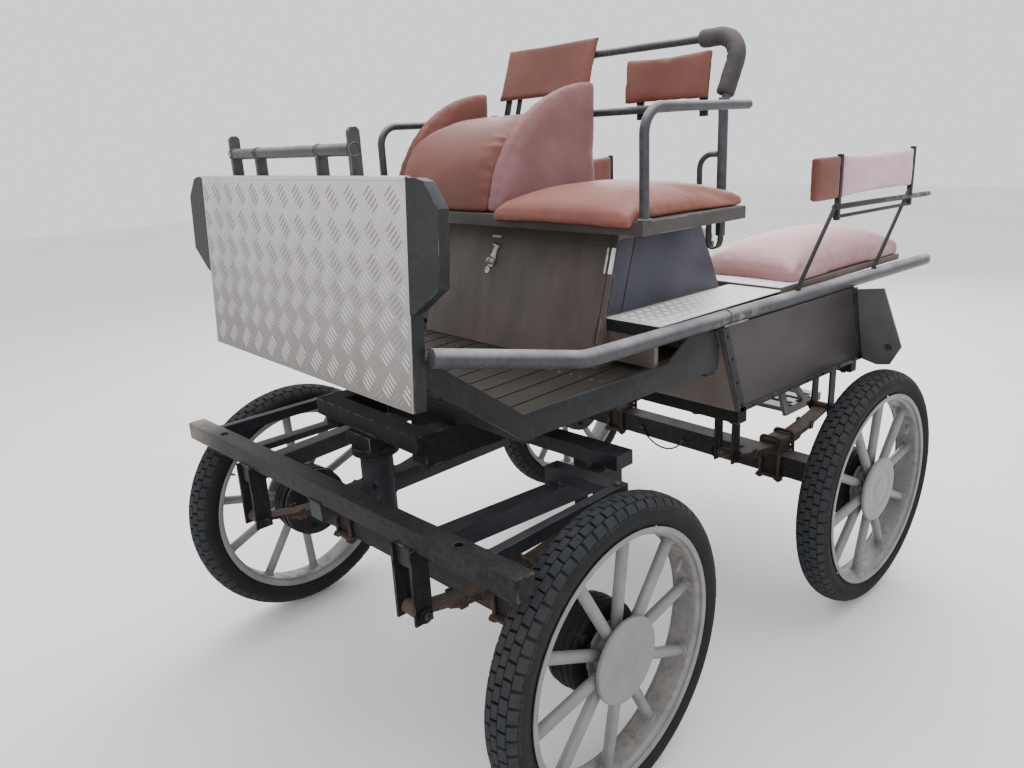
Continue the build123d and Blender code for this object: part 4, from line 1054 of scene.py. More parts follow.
def build_body():
    both = (1, -1)
    # long top rails
    s = Shape()
    for q in both:
        p = route([(q * 398.3, -216.5, 903), (q * 455, 70, 848), (q * 455, 1490, 834)], 160, 16)
        line = p[:-1] + [Vector((q * 455, y, 848 - 14 * (y - 70) / 1420)) for y in range(150, 1490, 60)] + [p[-1]]
        s.tube(line, 16.5, 32, ("cap", "cap"))
        s.weld([(q * 470.5, y, 832.5 - 14 * (y - 70) / 1420 + 3) for y in (476, 560)], 2.6)
        s.ring_weld((q * 455, 500, 844), (0, 1, -0.01), 17.2, 2.2)
    # a patch of bare worn steel round y 515 also stands in for the rail's glint there, a painted highlight; the rail
    # ends are bare
    at = []
    for (x, y, z) in s.v:
        k = 0.0
        if 380 < y < 640:
            k = max(0.0, 1.0 - abs(y - 515) / 130.0)
        if y > 1478:
            k = 1.0
        at.append(k)
    s.at = at
    piece("top_rail_tubes", s, M["rail"], "root", "black_steel", ROOT, ("top_rails",), sharp=34)

    worn("footwell_frame", M["steel"], 1.4, 2.2)
    worn("footwell_planks", M["boards"], 1.6)
    s = Shape()
    pitch = 2 * 376.0 / 13
    for i in range(13):
        xc = -376.0 + (i + 0.5) * pitch
        for y in (-15.0, 215.0, 470.0):
            for e in (-12, 12):
                x = xc + e
                z = 743.5 + 20.0 * (y + 26) / 512.0
                s.screw((x, y, z), (0, 0, 1), 3.8, 1.3)
    for i in range(4):
        t = 0.06 + i * 0.235 + 0.105
        y, z = -34 - 166 * t, 752 + 120 * t
        for x in (-340, -200, 0, 200, 340):
            s.screw((x, y + 0.586 * 14, z + 0.81 * 14), (0, 0.586, 0.81), 3.8, 1.3)
    piece("floor_screws", s, M["screw"], "root", "floor_wood", ROOT, sharp=40)

    worn("tub_sides", M["ply_side"], 1.0)
    worn("tub_walls", M["ply"], 1.0)
    worn("tub_floor", M["ply"], 1.0)
    worn("seat_box", M["ply"], 1.2)
    worn("box_door", M["ply"], 1.2)
    worn("rear_door", M["ply"], 1.2)
    worn("deck_risers", M["ply"], 1.0)
    worn("bench_boxes", M["ply"], 1.0)
    worn("seat_ledge", M["ledge"], 2.6, 2.4)
    worn("lamp_wings", M["lamp"], 1.2)
    worn("brake_pedal", M["steel"], 1.2, 2.0)
    worn("backrest_posts", M["steel"], 1.0)

    # angle strips round the tub's side panels
    s = Shape()
    k = 78.0 / 210.0
    for q in both:
        def yz(y, z):
            return (y, z)
        a, b = (465.2, 468.4) if q > 0 else (-468.4, -465.2)
        s.prism([(548, 622), (570, 622), (570 - k * 203, 825), (548 - k * 204, 826)], "x", a, b, 0.8)
        s.prism([(548 - 4, 634), (1116, 634), (1120, 622), (548, 622)], "x", a, b, 0.8)
        k2 = 62.0 / 210.0
        s.prism([(1120, 622), (1120 - k2 * 200, 822), (1100 - k2 * 200, 822), (1100, 622)], "x", a, b, 0.8)
        for y, z0 in ((486, 770), (1052, 646)):
            pass
    piece("tub_edge_strips", s, M["steel"], "root", "black_steel", ROOT, sharp=30)
    s = Shape()
    for q in both:
        for t in (0.08, 0.36, 0.64, 0.9):
            y, z = 559 - k * 205 * t, 622 + 205 * t
            s.screw((q * 468.4, y, z), (q, 0, 0), 4.2, 2.0)
            y, z = 1110 - 62.0 / 210 * 200 * t, 622 + 200 * t
            s.screw((q * 468.4, y, z), (q, 0, 0), 4.2, 2.0)
        for y in np.linspace(600, 1070, 7):
            s.screw((q * 468.4, y, 628), (q, 0, 0), 4.2, 2.0)
        # bolts of the lamp wing plates
        for z in (650.0, 720.0, 790.0):
            yy = 1120 - 62.0 * (z - 622) / 210.0
            s.bolt((q * 480, yy + 0.3, z), (0, 0.959, 0.283), 11, 6)
    piece("tub_screws", s, M["gear"], "root", "black_steel", ROOT, sharp=40)

    # tail lamp holes' grommets
    s = Shape()
    for q in both:
        z = 668.0
        yy = 1120 - 62.0 * (z - 622) / 210.0
        s.lathe([(-6.0, 0.0), (-6.0, 9.0), (-5.2, 9.6), (0.4, 9.6), (1.4, 8.8), (1.4, 5.3), (-2.0, 4.8), (-2.0, 0.0)], 28, aim((q * 540, yy, z), (0, 0.959, 0.283)))
    piece("lamp_grommets", s, M["rubber"], "root", "foam_rubber", ROOT, sharp=40)

    # checker plate decks
    s, lips = Shape(), Shape()
    for q in both:
        a, b = sorted((q * 301, q * 440))
        s.box(a, b, 300, 740, 859, 862, 0.8)
        c, d = sorted((q * 301, q * 435))
        lips.box(c, d, 300, 303, 834, 858.8, 0.8)
        tread_bars(s, a + 3, b - 3, 304, 737, 27.0, 25.0, lambda u, v, h: (u, v, 862 + h), length=13.5, wide=2.2, high=1.1, gap=3.7, off=(9.0, 8.0))
        c, d = sorted((q * 170, q * 437))
        s.box(c, d, 744.5, 834, 866.1, 868, 0.5)
        tread_bars(s, c + 3, d - 3, 747, 832, 27.0, 25.0, lambda u, v, h: (u, v, 868 + h), length=13.5, wide=2.2, high=1.1, gap=3.7, off=(9.0, 8.0))
    # the deck plates' front edge carries a painted highlight
    at = list(s.at)
    for i, (x, y, z) in enumerate(s.v):
        if y < 303:
            at[i] = 0.5
    s.at = at
    piece("deck_tread", s, M["deck"], "root", "deck_plate", ROOT, ("side_decks",), sharp=40)

    piece("deck_front_lips", lips, M["steel"], "root", "black_steel", ROOT, sharp=34)

    # side panels set on the seat box, with the seam along their slanted front edge
    s = Shape()
    for q in both:
        a, b = (300.1, 303.2) if q > 0 else (-303.2, -300.1)
        s.prism([(347, 866), (695, 866), (695, 868), (624, 1012), (620, 1014), (392, 1014), (389, 1001)], "x", a, b, 1.0)
        a, b = (300.1, 302.4) if q > 0 else (-302.4, -300.1)
        s.prism([(box_fy(866) + 2, 866), (343, 866), (385, 1001), (388, 1014), (box_fy(1014) + 2, 1014)], "x", a, b, 0.8)
    piece("seat_box_side_panels", s, M["panel"], "root", "black_steel", ROOT, sharp=30)

    # bands at the tops of the seat box and under the ledge
    s = Shape()
    s.box(-440, 440, 248.2, 250, 1040.5, 1066.5, 0.5)
    piece("ledge_brackets", s, M["ledge"], "root", "black_steel", ROOT, sharp=30)

    # thin facing sheets over the seat box's front; the door carries its own
    def facing(x0, x1, z0, z1, out, t=1.4):
        b = Shape()
        c = [(box_fy(z0), z0), (box_fy(z1), z1)]
        ny, nz = -285.0 / 296.84, 83.0 / 296.84
        b.prism([(y + ny * (0.1 + k), z + nz * (0.1 + k)) for (y, z), k in ((c[0], 0), (c[1], 0), (c[1], t), (c[0], t))], "x", x0, x1, 0.0)
        out.add(b.v, b.f, b.at)
    s = Shape()
    facing(-299.8, -94.9, 757.0, 1029.0, s)
    facing(287.2, 299.8, 757.0, 1029.0, s)
    facing(-94.9, 285.2, 757.0, 791.0, s)
    facing(-94.9, 285.2, 1001.4, 1029.0, s)
    piece("seat_box_facing", s, M["ply"], "root", "film_plywood", ROOT, sharp=30)
    s = Shape()
    facing(-94.6, 284.9, 791.3, 1001.1, s)
    piece("box_door_facing", s, M["ply"], "box_door", "film_plywood", ROOT, sharp=30)

    # door hinges on the seat box's left edge: leaves, knuckles, screws
    n = Vector((0, -285.0, 83.0)).normalized()
    upv = Vector((0, 83.0, 285.0)).normalized()
    def on_front(x, z, out=0.0):
        return Vector((x, box_fy(z), z)) + n * out
    for nm, z0, z1, mat in (("top", 946.0, 1000.0, "bright"), ("low", 806.0, 858.0, "ply_hinge")):
        fix, leaf = Shape(), Shape()
        def front_tf(x, z):
            m = Matrix((Vector((1, 0, 0)), upv, n)).transposed().to_4x4()
            m.translation = on_front(x, z, 1.5)
            return m
        tf = front_tf(0, (z0 + z1) / 2)
        hh = (z1 - z0) / 2
        fix.box(291.0, 299.4, -hh, hh, 0, 1.8, 0.5, tf)
        leaf.box(277.5, 282.0, -hh, hh, 0, 1.8, 0.5, tf)
        for k in range(5):
            v0 = -hh + k * 2 * hh / 5 + 0.4
            v1 = v0 + 2 * hh / 5 - 0.8
            fix.tube([tf @ Vector((293, v0, 2.0)), tf @ Vector((293, v1, 2.0))], 2.8, 16, "cap")
        for e in (-1, 0, 1):
            fix.screw(tf @ Vector((297.2, e * hh * 0.66, 1.8)), n, 1.6, 0.8)
        piece("box_hinge_fixed_" + nm, fix, M[mat], "root", "tread_plate", ROOT, sharp=34)
        piece("box_hinge_leaf_" + nm, leaf, M[mat], "box_door", "tread_plate", ROOT, sharp=34)

    # hasp at the door's upper right, its staple stays on the box
    m0 = Matrix((Vector((1, 0, 0)), upv, n)).transposed().to_4x4()
    m0.translation = on_front(-74, 962, 1.5)
    tilt = m0 @ Matrix.Rotation(math.radians(-14), 4, "Z") @ Matrix.Diagonal((0.7, 0.8, 1.0, 1.0))
    s = Shape()
    s.prism([(-14, -36), (-10, -40), (10, -40), (14, -36), (14, -6), (11, 0), (11, 24), (-11, 24), (-11, 0), (-14, -6)], "z", 1.0, 3.4, 0.6, tilt)
    s.tube([tilt @ Vector((-14, 27, 3.0)), tilt @ Vector((14, 27, 3.0))], 3.6, 16, "cap")
    s.tube(route([tilt @ Vector((0, -30, 2)), tilt @ Vector((0, -30, 17)), tilt @ Vector((0, -12, 17)), tilt @ Vector((0, -12, 2))], 7, 6), 2.6, 12, "cap")
    for x, y in ((-7, 12), (7, 12), (0, 18)):
        s.screw(tilt @ Vector((x, y, 3.4)), n, 2.8, 1.0)
    s.lathe([(0, 0), (0, 8), (1.2, 9), (3.0, 8.4), (3.6, 0)], 20, aim(tilt @ Vector((-9, -52, 0)), n))
    piece("box_hasp", s, M["zinc"], "box_door", "tread_plate", ROOT, sharp=34)
    s = Shape()
    s.box(-15, 15, 40, 46, 0, 2.2, 0.5, m0)
    s.screw((m0 @ Vector((-9, 43, 2.2))), n, 2.4, 0.9)
    s.screw((m0 @ Vector((9, 43, 2.2))), n, 2.4, 0.9)
    piece("ledge_fastenings", s, M["zinc"], "root", "silver_paint", ROOT, sharp=34)

    # rear door: latch and strap hinges on its outer face
    nr = Vector((0, 210.0, 62.0)).normalized()
    ur = Vector((0, -62.0, 210.0)).normalized()
    mr = Matrix((Vector((-1, 0, 0)), ur, nr)).transposed().to_4x4()
    z = 742.0
    mr.translation = Vector((0, 1120 - 62.0 * (z - 622) / 210.0, z))
    s = Shape()
    for v in (-52, 52):
        s.prism([(-140, v - 10), (-60, v - 6), (-54, v), (-60, v + 6), (-140, v + 10)], "z", 0.2, 3.0, 0.6, mr)
        for u in (-128, -100, -72):
            s.screw(mr @ Vector((u, v, 3.0)), nr, 4.0, 1.5)
    piece("rear_door_hinges", s, M["steel"], "rear_door", "black_steel", ROOT, sharp=34)
    s = Shape()
    for v in (-52, 52):
        s.tube([mr @ Vector((-154, v - 12, 3.2)), mr @ Vector((-154, v + 12, 3.2))], 4.2, 16, "cap")
        s.box(-172, -157, v - 11, v + 11, 0.2, 2.4, 0.5, mr)
    piece("rear_door_barrels", s, M["steel"], "root", "black_steel", ROOT, sharp=34)
    s = Shape()
    s.box(96, 134, -14, 14, 0.2, 2.6, 0.6, mr)
    s.tube([mr @ Vector((104, 0, 7)), mr @ Vector((141, 0, 7))], 4.2, 14, "cap")
    s.tube([mr @ Vector((116, 0, 7)), mr @ Vector((116, 0, 22))], 3.4, 12, "round")
    for u in (100, 130):
        for v in (-10, 10):
            s.screw(mr @ Vector((u, v, 2.6)), nr, 2.8, 1.0)
    piece("rear_door_bolt", s, M["zinc"], "rear_door", "silver_paint", ROOT, sharp=34)
    s = Shape()
    s.tube(route([mr @ Vector((158, -8, 0)), mr @ Vector((158, -8, 12)), mr @ Vector((158, 8, 12)), mr @ Vector((158, 8, 0))], 5, 6), 2.4, 12, "cap")
    s.box(152, 166, -14, 14, 0.2, 2.0, 0.5, mr)
    piece("rear_door_keeper", s, M["zinc"], "root", "silver_paint", ROOT, sharp=34)

    # pedal tread
    s = Shape()
    ptf = Matrix.Translation((-200, -44, 856)) @ Matrix.Rotation(math.radians(-42), 4, "X")
    s.box(-35, 35, -30, 30, 4.0, 8.0, 1.2, ptf)
    for k in range(6):
        s.box(-32, 32, -26 + k * 9.6, -21.5 + k * 9.6, 7.5, 10.0, 0.6, ptf)
    piece("pedal_rubber", s, M["rubber"], "root", "foam_rubber", ROOT, sharp=34)

    # step's slats: bolts
    s = Shape()
    for i in range(4):
        for q in both:
            s.bolt((q * 219, 1190 + i * 52 + 15, 412), (0, 0, 1), 10, 5)
    piece("step_bolts", s, M["gear"], "root", "black_steel", ROOT, sharp=30)


# ------------------------------------------------------------ rails above seats
def build_rails():
    both = (1, -1)
    s = Shape()
    s.tube([(x, 600, 1272) for x in (-372, -186, 0, 186, 372)], 9, 22, "cap")
    for q in both:
        s.tube([(q * 368, 600, z) for z in (1000, 1090, 1180, 1284)], 10.5, 26, "cap")
        s.box(q * 368 - 8, q * 368 + 8, 586.1, 596, 1040.5, 1066.5, 1.0)
        s.ring_weld((q * 358.5, 600, 1272), (1, 0, 0), 9.4, 1.8)
    up = route([(-78, 617, 1268), (-78, 657, 1411), (375, 657, 1411), (368, 602, 1272)], [40, 55], 12)
    s.tube(up, 9, 22, "cap")
    s.ring_weld((-78, 611, 1270), (0, 0.27, 0.96), 10.5, 2.4)
    loop = route([(368, 600, 1171), (311, 600, 1171), (311, 600, 1046)], 32, 12)
    s.tube(loop, 6.2, 18, "cap")
    s.box(308, 320, 586.1, 598, 1044.5, 1066.5, 0.8)
    s.ring_weld((357.0, 600, 1171), (1, 0, 0), 6.6, 1.4)
    piece("back_rail_tubes", s, M["rail"], "root", "black_steel", ROOT, ("back_rail_frame",), sharp=34)

    # foam sleeve, a little crushed at the bend
    pe = Vector((370 - 7 * 0.86, 657 - 55 * 0.86, 1411 - 139 * 0.86))
    path = resample(route([(272, 657, 1411), (375, 657, 1411), pe], 55, 20), 3.0)
    s = Shape()
    m, n = len(path), 28
    vs, fs, cr = [], [], []
    dirs = [(path[min(i + 1, m - 1)] - path[max(i - 1, 0)]).normalized() for i in range(m)]
    side = dirs[0].cross(Vector((0, 0, 1))).normalized()
    idx = []
    for i in range(m):
        side = (side - dirs[i] * side.dot(dirs[i])).normalized()
        upv = dirs[i].cross(side).normalized()
        ring = []
        for k in range(n):
            a = 2 * math.pi * k / n
            nn = side * math.cos(a) + upv * math.sin(a)
            w = noise.noise(Vector((i * 0.16, math.cos(a) * 1.3, math.sin(a) * 1.3)))
            t = i / (m - 1)
            bend = math.exp(-((t - 0.52) / 0.16) ** 2)
            fold = bend * 1.3 * math.sin(i * 0.95) * max(0.0, -nn.dot(Vector((0.6, 0.3, 0.7))))
            e = min(i, m - 1 - i)
            r = 19.2 + 0.9 * w + fold - (0.0 if e > 1 else (1.6 if e == 0 else 0.4))
            # valleys of the crushed fold are marked for painted shade
            ring.append(len(vs)); vs.append(path[i] + nn * r); cr.append(max(0.0, -fold) * 0.8)
        idx.append(ring)
    for i, way in ((0, -1), (m - 1, 1)):
        inner, deep = [], []
        base = path[i]
        for k in range(n):
            v = Vector(vs[idx[0 if i == 0 else -1][k]]) - base
            inner.append((base + v.normalized() * 10.0))
            deep.append((base + v.normalized() * 9.4 - dirs[i] * way * 8.0))
        # the insides of the open ends are marked for painted shade, most deeply at the bottom
        a0 = len(vs); vs += inner; cr += [0.4] * n
        b0 = len(vs); vs += deep; cr += [1.0] * n
        ring = idx[0] if i == 0 else idx[-1 if len(idx) == m else m - 1]
        for k in range(n):
            j = (k + 1) % n
            fs.append((ring[k], ring[j], a0 + j, a0 + k))
            fs.append((a0 + k, a0 + j, b0 + j, b0 + k))
        fs.append(tuple(range(b0, b0 + n)))
    for i in range(m - 1):
        for k in range(n):
            j = (k + 1) % n
            fs.append((idx[i][k], idx[i + 1][k], idx[i + 1][j], idx[i][j]))
    s.add(vs, fs)
    ob = piece("foam_sleeve", s, M["foam"], "root", "foam_rubber", ROOT, ("rail_padding",), sharp=50, attrs={"crease": cr})

    # armrests
    s = Shape()
    for q in both:
        line = route([(q * 430.5, 264, 1067), (q * 430.5, 264, 1268), (q * 430.5, 596, 1268)], 48, 14)
        s.tube(line, 9.5, 24, ("cap", "cap"))
        s.lathe([(0, 0), (0, 14.5), (0.6, 15), (2.4, 15), (3, 14.4), (3, 0)], 28, aim((q * 430.5, 265, 1067), (0, 0, 1)))
        s.ring_weld((q * 430.5, 264, 1070.5), (0, 0, 1), 10.2, 1.8)
        a, b = sorted((q * 378, q * 424))
        s.box(a, b, 588, 596, 1262, 1274, 1.0)
        s.ring_weld((q * 421.5, 592, 1268), (1, 0, 0), 6.6, 1.6)
    piece("armrest_tubes", s, M["rail"], "root", "black_steel", ROOT, ("armrests",), sharp=34)

    # bench uprights and rails; the right backrest is the shorter one
    s = Shape()
    for q in both:
        x = q * 458
        e = 1332.0 if q > 0 else 1171.0
        z2 = 853.0 if q > 0 else 855.0
        s.box(x - 6, x + 6, 939, 951, 1000, 1152, 1.2)
        s.box(x - 6, x + 6, e, e + 12, 1000, 1152, 1.2)
        s.tube([(x, 780, 857), (x, 860, 950), (x, 945, 1046)], 5.0, 18, "cap")
        s.tube([(x, e - 172, z2), (x, e - 82, 950), (x, e + 6, 1046)], 5.0, 18, "cap")
        s.tube([(x, 930, 1031), (x, 1100, 1028.0), (x, 1462, 1020)], 7.0, 20, ("cap", "pipe"))
        s.tube([(x, 934, 1008), (x, e + 8, 1003)], 4.6, 14, "cap")
        for y, z in ((945, 1046), (e + 6, 1046)):
            s.ring_weld((x, y - 4, z - 5), (0, 0.66, 0.75), 5.6, 1.4)
        for y in (945, e + 6):
            s.ring_weld((x, y, 1029), (0, 0, 1), 8.4, 1.2)
        s.ring_weld((x, 784, 861), (0, 0.66, 0.75), 5.6, 1.6)
        s.ring_weld((x, e - 168, z2 + 4), (0, 0.66, 0.75), 5.6, 1.6)
    at = []
    for (x, y, z) in s.v:
        at.append(1.0 if y > 1455 else 0.0)
    s.at = at
    piece("bench_rail_tubes", s, M["steel"], "root", "black_steel", ROOT, ("bench_back_frames",), sharp=34)

    # bolts behind the backrests
    s = Shape()
    for x in (-327, -284, -100):
        for z in (1340, 1385):
            y = 600 + 16.2 + (z - 1318) * 36 / 122 + 6
            s.bolt((x, y, z), (0, 1, -0.29), 9, 5)
    for x in (136, 310):
        for z in (1310, 1355):
            s.bolt((x, 614.2 + (z - 1284) * 0.1 , z), (0, 1, -0.1), 9, 5)
    piece("backrest_bolts", s, M["gear"], "root", "black_steel", ROOT, sharp=30)

    # bent strap that hangs under the ledge beside the seat box
    s = Shape()
    for q in both:
        path = route([(q * 345, 590, 1040), (q * 345, 590, 985), (q * 358, 592, 950), (q * 372, 594, 985), (q * 378, 594, 1040)], [20, 12, 20], 8)
        vs, fs = [], []
        for i, p in enumerate(path):
            d = (path[min(i + 1, len(path) - 1)] - path[max(i - 1, 0)]).normalized()
            w = Vector((0, 1, 0))
            nn = d.cross(w).normalized()
            for e, f in ((-1, -1), (1, -1), (1, 1), (-1, 1)):
                vs.append(p + w * (e * 9.0) + nn * (f * 1.7))
        L = len(path)
        for i in range(L - 1):
            for k in range(4):
                fs.append((i * 4 + k, i * 4 + (k + 1) % 4, (i + 1) * 4 + (k + 1) % 4, (i + 1) * 4 + k))
        fs += [(0, 1, 2, 3), ((L - 1) * 4 + 3, (L - 1) * 4 + 2, (L - 1) * 4 + 1, (L - 1) * 4)]
        s.add(vs, fs)
    piece("ledge_straps", s, M["steel"], "root", "black_steel", ROOT, sharp=34)


# -------------------------------------------------------------------- cushions
def pillow(x0, x1, y0, y1, z0, z1, edge, power=2.6, pull=0.03, n=44, stretch=(0.0, 0.0), lip=(0.0, 0.0)):
    """A crowned pad on a flat base whose sides pull in between the corners."""
    s = Shape()
    xc, yc, hx, hy = (x0 + x1) / 2, (y0 + y1) / 2, (x1 - x0) / 2, (y1 - y0) / 2
    vs, fs = [], []

    def at(u, v, z):
        # the rear outer corner can reach further out, the front edge can hang over
        k = max(0.0, u) * max(0.0, v)
        f = max(0.0, -v - 0.86) / 0.14
        low = 1.0 if z <= z0 + 0.01 else 0.55
        return (xc + hx * u * (1 - pull * (1 - v * v)) + stretch[0] * k, yc + hy * v * (1 - pull * (1 - u * u)) + stretch[1] * k - lip[0] * f, z - lip[1] * f * low)
    for layer in (0, 1):
        for i in range(n + 1):
            for j in range(n + 1):
                u, v = -1 + 2 * i / n, -1 + 2 * j / n
                if layer:
                    k = max(0.0, (1 - abs(u) ** power) * (1 - abs(v) ** power)) ** 0.55
                    vs.append(at(u, v, z0 + edge + (z1 - z0 - edge) * k))
                else:
                    vs.append(at(u, v, z0))
    N = (n + 1) ** 2
    g = lambda l, i, j: l * N + i * (n + 1) + j
    for i in range(n):
        for j in range(n):
            fs.append((g(0, i, j), g(0, i, j + 1), g(0, i + 1, j + 1), g(0, i + 1, j)))
            fs.append((g(1, i, j), g(1, i + 1, j), g(1, i + 1, j + 1), g(1, i, j + 1)))
    for i in range(n):
        fs.append((g(0, i, 0), g(0, i + 1, 0), g(1, i + 1, 0), g(1, i, 0)))
        fs.append((g(0, i, n), g(1, i, n), g(1, i + 1, n), g(0, i + 1, n)))
        fs.append((g(0, 0, i), g(1, 0, i), g(1, 0, i + 1), g(0, 0, i + 1)))
        fs.append((g(0, n, i), g(0, n, i + 1), g(1, n, i + 1), g(1, n, i)))
    s.add(vs, fs)
    seam = []
    for a, b in (((-1, -1), (1, -1)), ((1, -1), (1, 1)), ((1, 1), (-1, 1)), ((-1, 1), (-1, -1))):
        for k in range(24):
            f = k / 24
            seam.append(at(a[0] + (b[0] - a[0]) * f, a[1] + (b[1] - a[1]) * f, z0 + edge))
    return s, seam


def soft(name, shape, seams, mat, cad, voxel, cap, pin=None, pressure=4.0, tf=ROOT, body="root", pipe=0.0, pucker=1.0, smooth=2, mirror=False, gather=()):
    """A stuffed cover: closed form, cloth pressure, then seams, piping and puckers."""
    me = bpy.data.meshes.new(name)
    me.from_pydata([tf @ Vector(p) for p in shape.v], [], shape.f)
    me.validate()
    ob = bpy.data.objects.new(name + "_base", me)
    bpy.context.scene.collection.objects.link(ob)
    mod = ob.modifiers.new("remesh", "REMESH")
    mod.mode = "VOXEL"
    mod.voxel_size = voxel
    dg = bpy.context.evaluated_depsgraph_get()
    base = bpy.data.meshes.new_from_object(ob.evaluated_get(dg))
    ob.modifiers.clear()
    ob.data = base
    pre = [v.co.copy() for v in base.vertices]
    post = pre
    if pin:
        vg = ob.vertex_groups.new(name="pin")
        ids = [i for i, c in enumerate(pre) if pin(c)]
        vg.add(ids, 1.0, "REPLACE")
    c = ob.modifiers.new("inflate", "CLOTH")
    st = c.settings
    st.quality = 4
    st.mass = 0.25
    st.tension_stiffness = st.compression_stiffness = 18
    st.shear_stiffness = 8
    st.bending_stiffness = 0.8
    st.use_pressure = True
    st.uniform_pressure_force = pressure
    st.effector_weights.gravity = 0.0
    if pin:
        st.vertex_group_mass = "pin"
    c.point_cache.frame_start, c.point_cache.frame_end = 1, 20
    sc = bpy.context.scene
    for f in range(1, 21):
        sc.frame_set(f)
    dg = bpy.context.evaluated_depsgraph_get()
    ev = ob.evaluated_get(dg).to_mesh()
    post = []
    for i, v in enumerate(ev.vertices):
        d = v.co - pre[i]
        L = d.length
        post.append(pre[i] + d * (cap * math.tanh(L / cap) / L) if L > 1e-7 else pre[i])
    ob.evaluated_get(dg).to_mesh_clear()
    ob.modifiers.clear()
    sc.frame_set(1)
    bm = bmesh.new()
    bm.from_mesh(base)
    bm.verts.ensure_lookup_table()
    for i, v in enumerate(bm.verts):
        v.co = post[i]
    for _ in range(smooth):
        bmesh.ops.smooth_vert(bm, verts=bm.verts, factor=0.5, use_axis_x=True, use_axis_y=True, use_axis_z=True)
    bm.verts.ensure_lookup_table()
    cur = [v.co.copy() for v in bm.verts]
    nor = [v.normal.copy() for v in bm.verts]
    bm.normal_update()
    nor = [v.normal.copy() for v in bm.verts]
    # seams follow the cover: nearest vertex before the pressure, its place after it
    kd = KDTree(len(pre))
    for i, p in enumerate(pre):
        kd.insert(p, i)
    kd.balance()
    lines = []
    for path, closed, r in seams:
        pts = []
        for p in resample([tf @ Vector(q) for q in path], 0.006, closed):
            near = kd.find_n(p, 4)
            tot = sum(1 / (d + 1e-4) for _, _, d in near)
            q = sum(((cur[i] + nor[i] * r * 0.0002) / (d + 1e-4) for _, i, d in near), Vector()) / tot
            pts.append(q)
        for _ in range(3):
            m = len(pts)
            pts = [(pts[(i - 1) % m] + pts[i] * 2 + pts[(i + 1) % m]) / 4 if closed or 0 < i < m - 1 else pts[i] for i in range(m)]
        lines.append((pts, closed, r))
    # crease beside each seam and small gathers that run off it
    lay = bm.verts.layers.float.new("crease")
    if lines:
        flat, par = [], []
        for pts, closed, r in lines:
            L = 0.0
            for i, p in enumerate(pts):
                if i:
                    L += (p - pts[i - 1]).length
                flat.append(p); par.append(L)
        kt = KDTree(len(flat))
        for i, p in enumerate(flat):
            kt.insert(p, i)
        kt.balance()
        for v in bm.verts:
            co, i, d = kt.find(v.co)
            # the crease layer marks the seam grooves for painted shade
            v[lay] = math.exp(-(d / 0.006) ** 2) * 0.8
            t = par[i]
            w = math.sin(t * 2 * math.pi / 0.034 + 2.5 * noise.noise(v.co * 22)) * (0.5 + 0.5 * noise.noise(v.co * 9))
            amp = 0.0011 * pucker
            for g0, g1, gs in gather:
                if (Vector(g0) - v.co).length < gs:
                    amp *= g1
            v.co = v.co + v.normal * (amp * w * math.exp(-d / 0.022) - 0.0013 * math.exp(-(d / 0.007) ** 2))
    # large soft unevenness from use
    for v in bm.verts:
        v.co = v.co + v.normal * (0.0016 * noise.noise(v.co * 7.0) + 0.0006 * noise.noise(v.co * 24.0)) * (0.0 if pin and pin(v.co) else 1.0)
    me2 = bpy.data.meshes.new(name)
    bm.to_mesh(me2)
    bm.free()
    ob.data = me2
    sub = ob.modifiers.new("subdivide", "SUBSURF")
    sub.levels = sub.render_levels = 1
    dg = bpy.context.evaluated_depsgraph_get()
    me3 = bpy.data.meshes.new_from_object(ob.evaluated_get(dg))
    ob.modifiers.clear()
    bpy.data.objects.remove(ob)
    me3.name = name
    me3.polygons.foreach_set("use_smooth", [True] * len(me3.polygons))
    made = []

    def out(nm, me, m, repl, reflect):
        if reflect:
            me.transform(Matrix.Diagonal((-1, 1, 1, 1)))
            me.flip_normals()
        me.materials.clear()
        me.materials.append(m)
        o = place(bpy.data.objects.new(nm, me), body, "leatherette", repl)
        made.append(o)
        return o
    ob = out(name, me3, mat, cad, False)
    if mirror:
        o2 = out(name + "_right", me3.copy(), mat, (), True)
    if lines and pipe:
        s = Shape()
        for pts, closed, r in lines:
            if r > 0:
                s.tube([p * 1000 for p in pts], r, 8, "round", closed)
        if s.v:
            for q in ((1, -1) if mirror else (1,)):
                t = Shape()
                t.add([(p[0] * q, p[1], p[2]) for p in s.v], s.f if q > 0 else [f[::-1] for f in s.f], s.at)
                o = piece(name + "_piping" + ("" if q > 0 else "_right"), t, M["piping"], body, "leatherette", Matrix.Scale(0.001, 4), sharp=60,
                          attrs={"crease": [0.0] * len(t.v)})
    return made


def rounded(poly, r=10.0, n=4):
    """An outline whose corners are rounded a little."""
    out = []
    m = len(poly)
    for i in range(m):
        a, b, c = Vector(poly[i - 1]), Vector(poly[i]), Vector(poly[(i + 1) % m])
        u, w = a - b, c - b
        t = min(r, u.length * 0.45, w.length * 0.45)
        p, q = b + u.normalized() * t, b + w.normalized() * t
        for k in range(n + 1):
            f = k / n
            out.append(tuple((p * (1 - f) + b * f) * (1 - f) + (b * (1 - f) + q * f) * f))
    return out


def quarter(y0, y1, z0, z1, n=16):
    pts = []
    for i in range(n + 1):
        a = math.pi / 2 * i / n
        pts.append((y1 - (y1 - y0) * math.cos(a), z0 + (z1 - z0) * math.sin(a)))
    pts.append((y1, z0))
    return pts


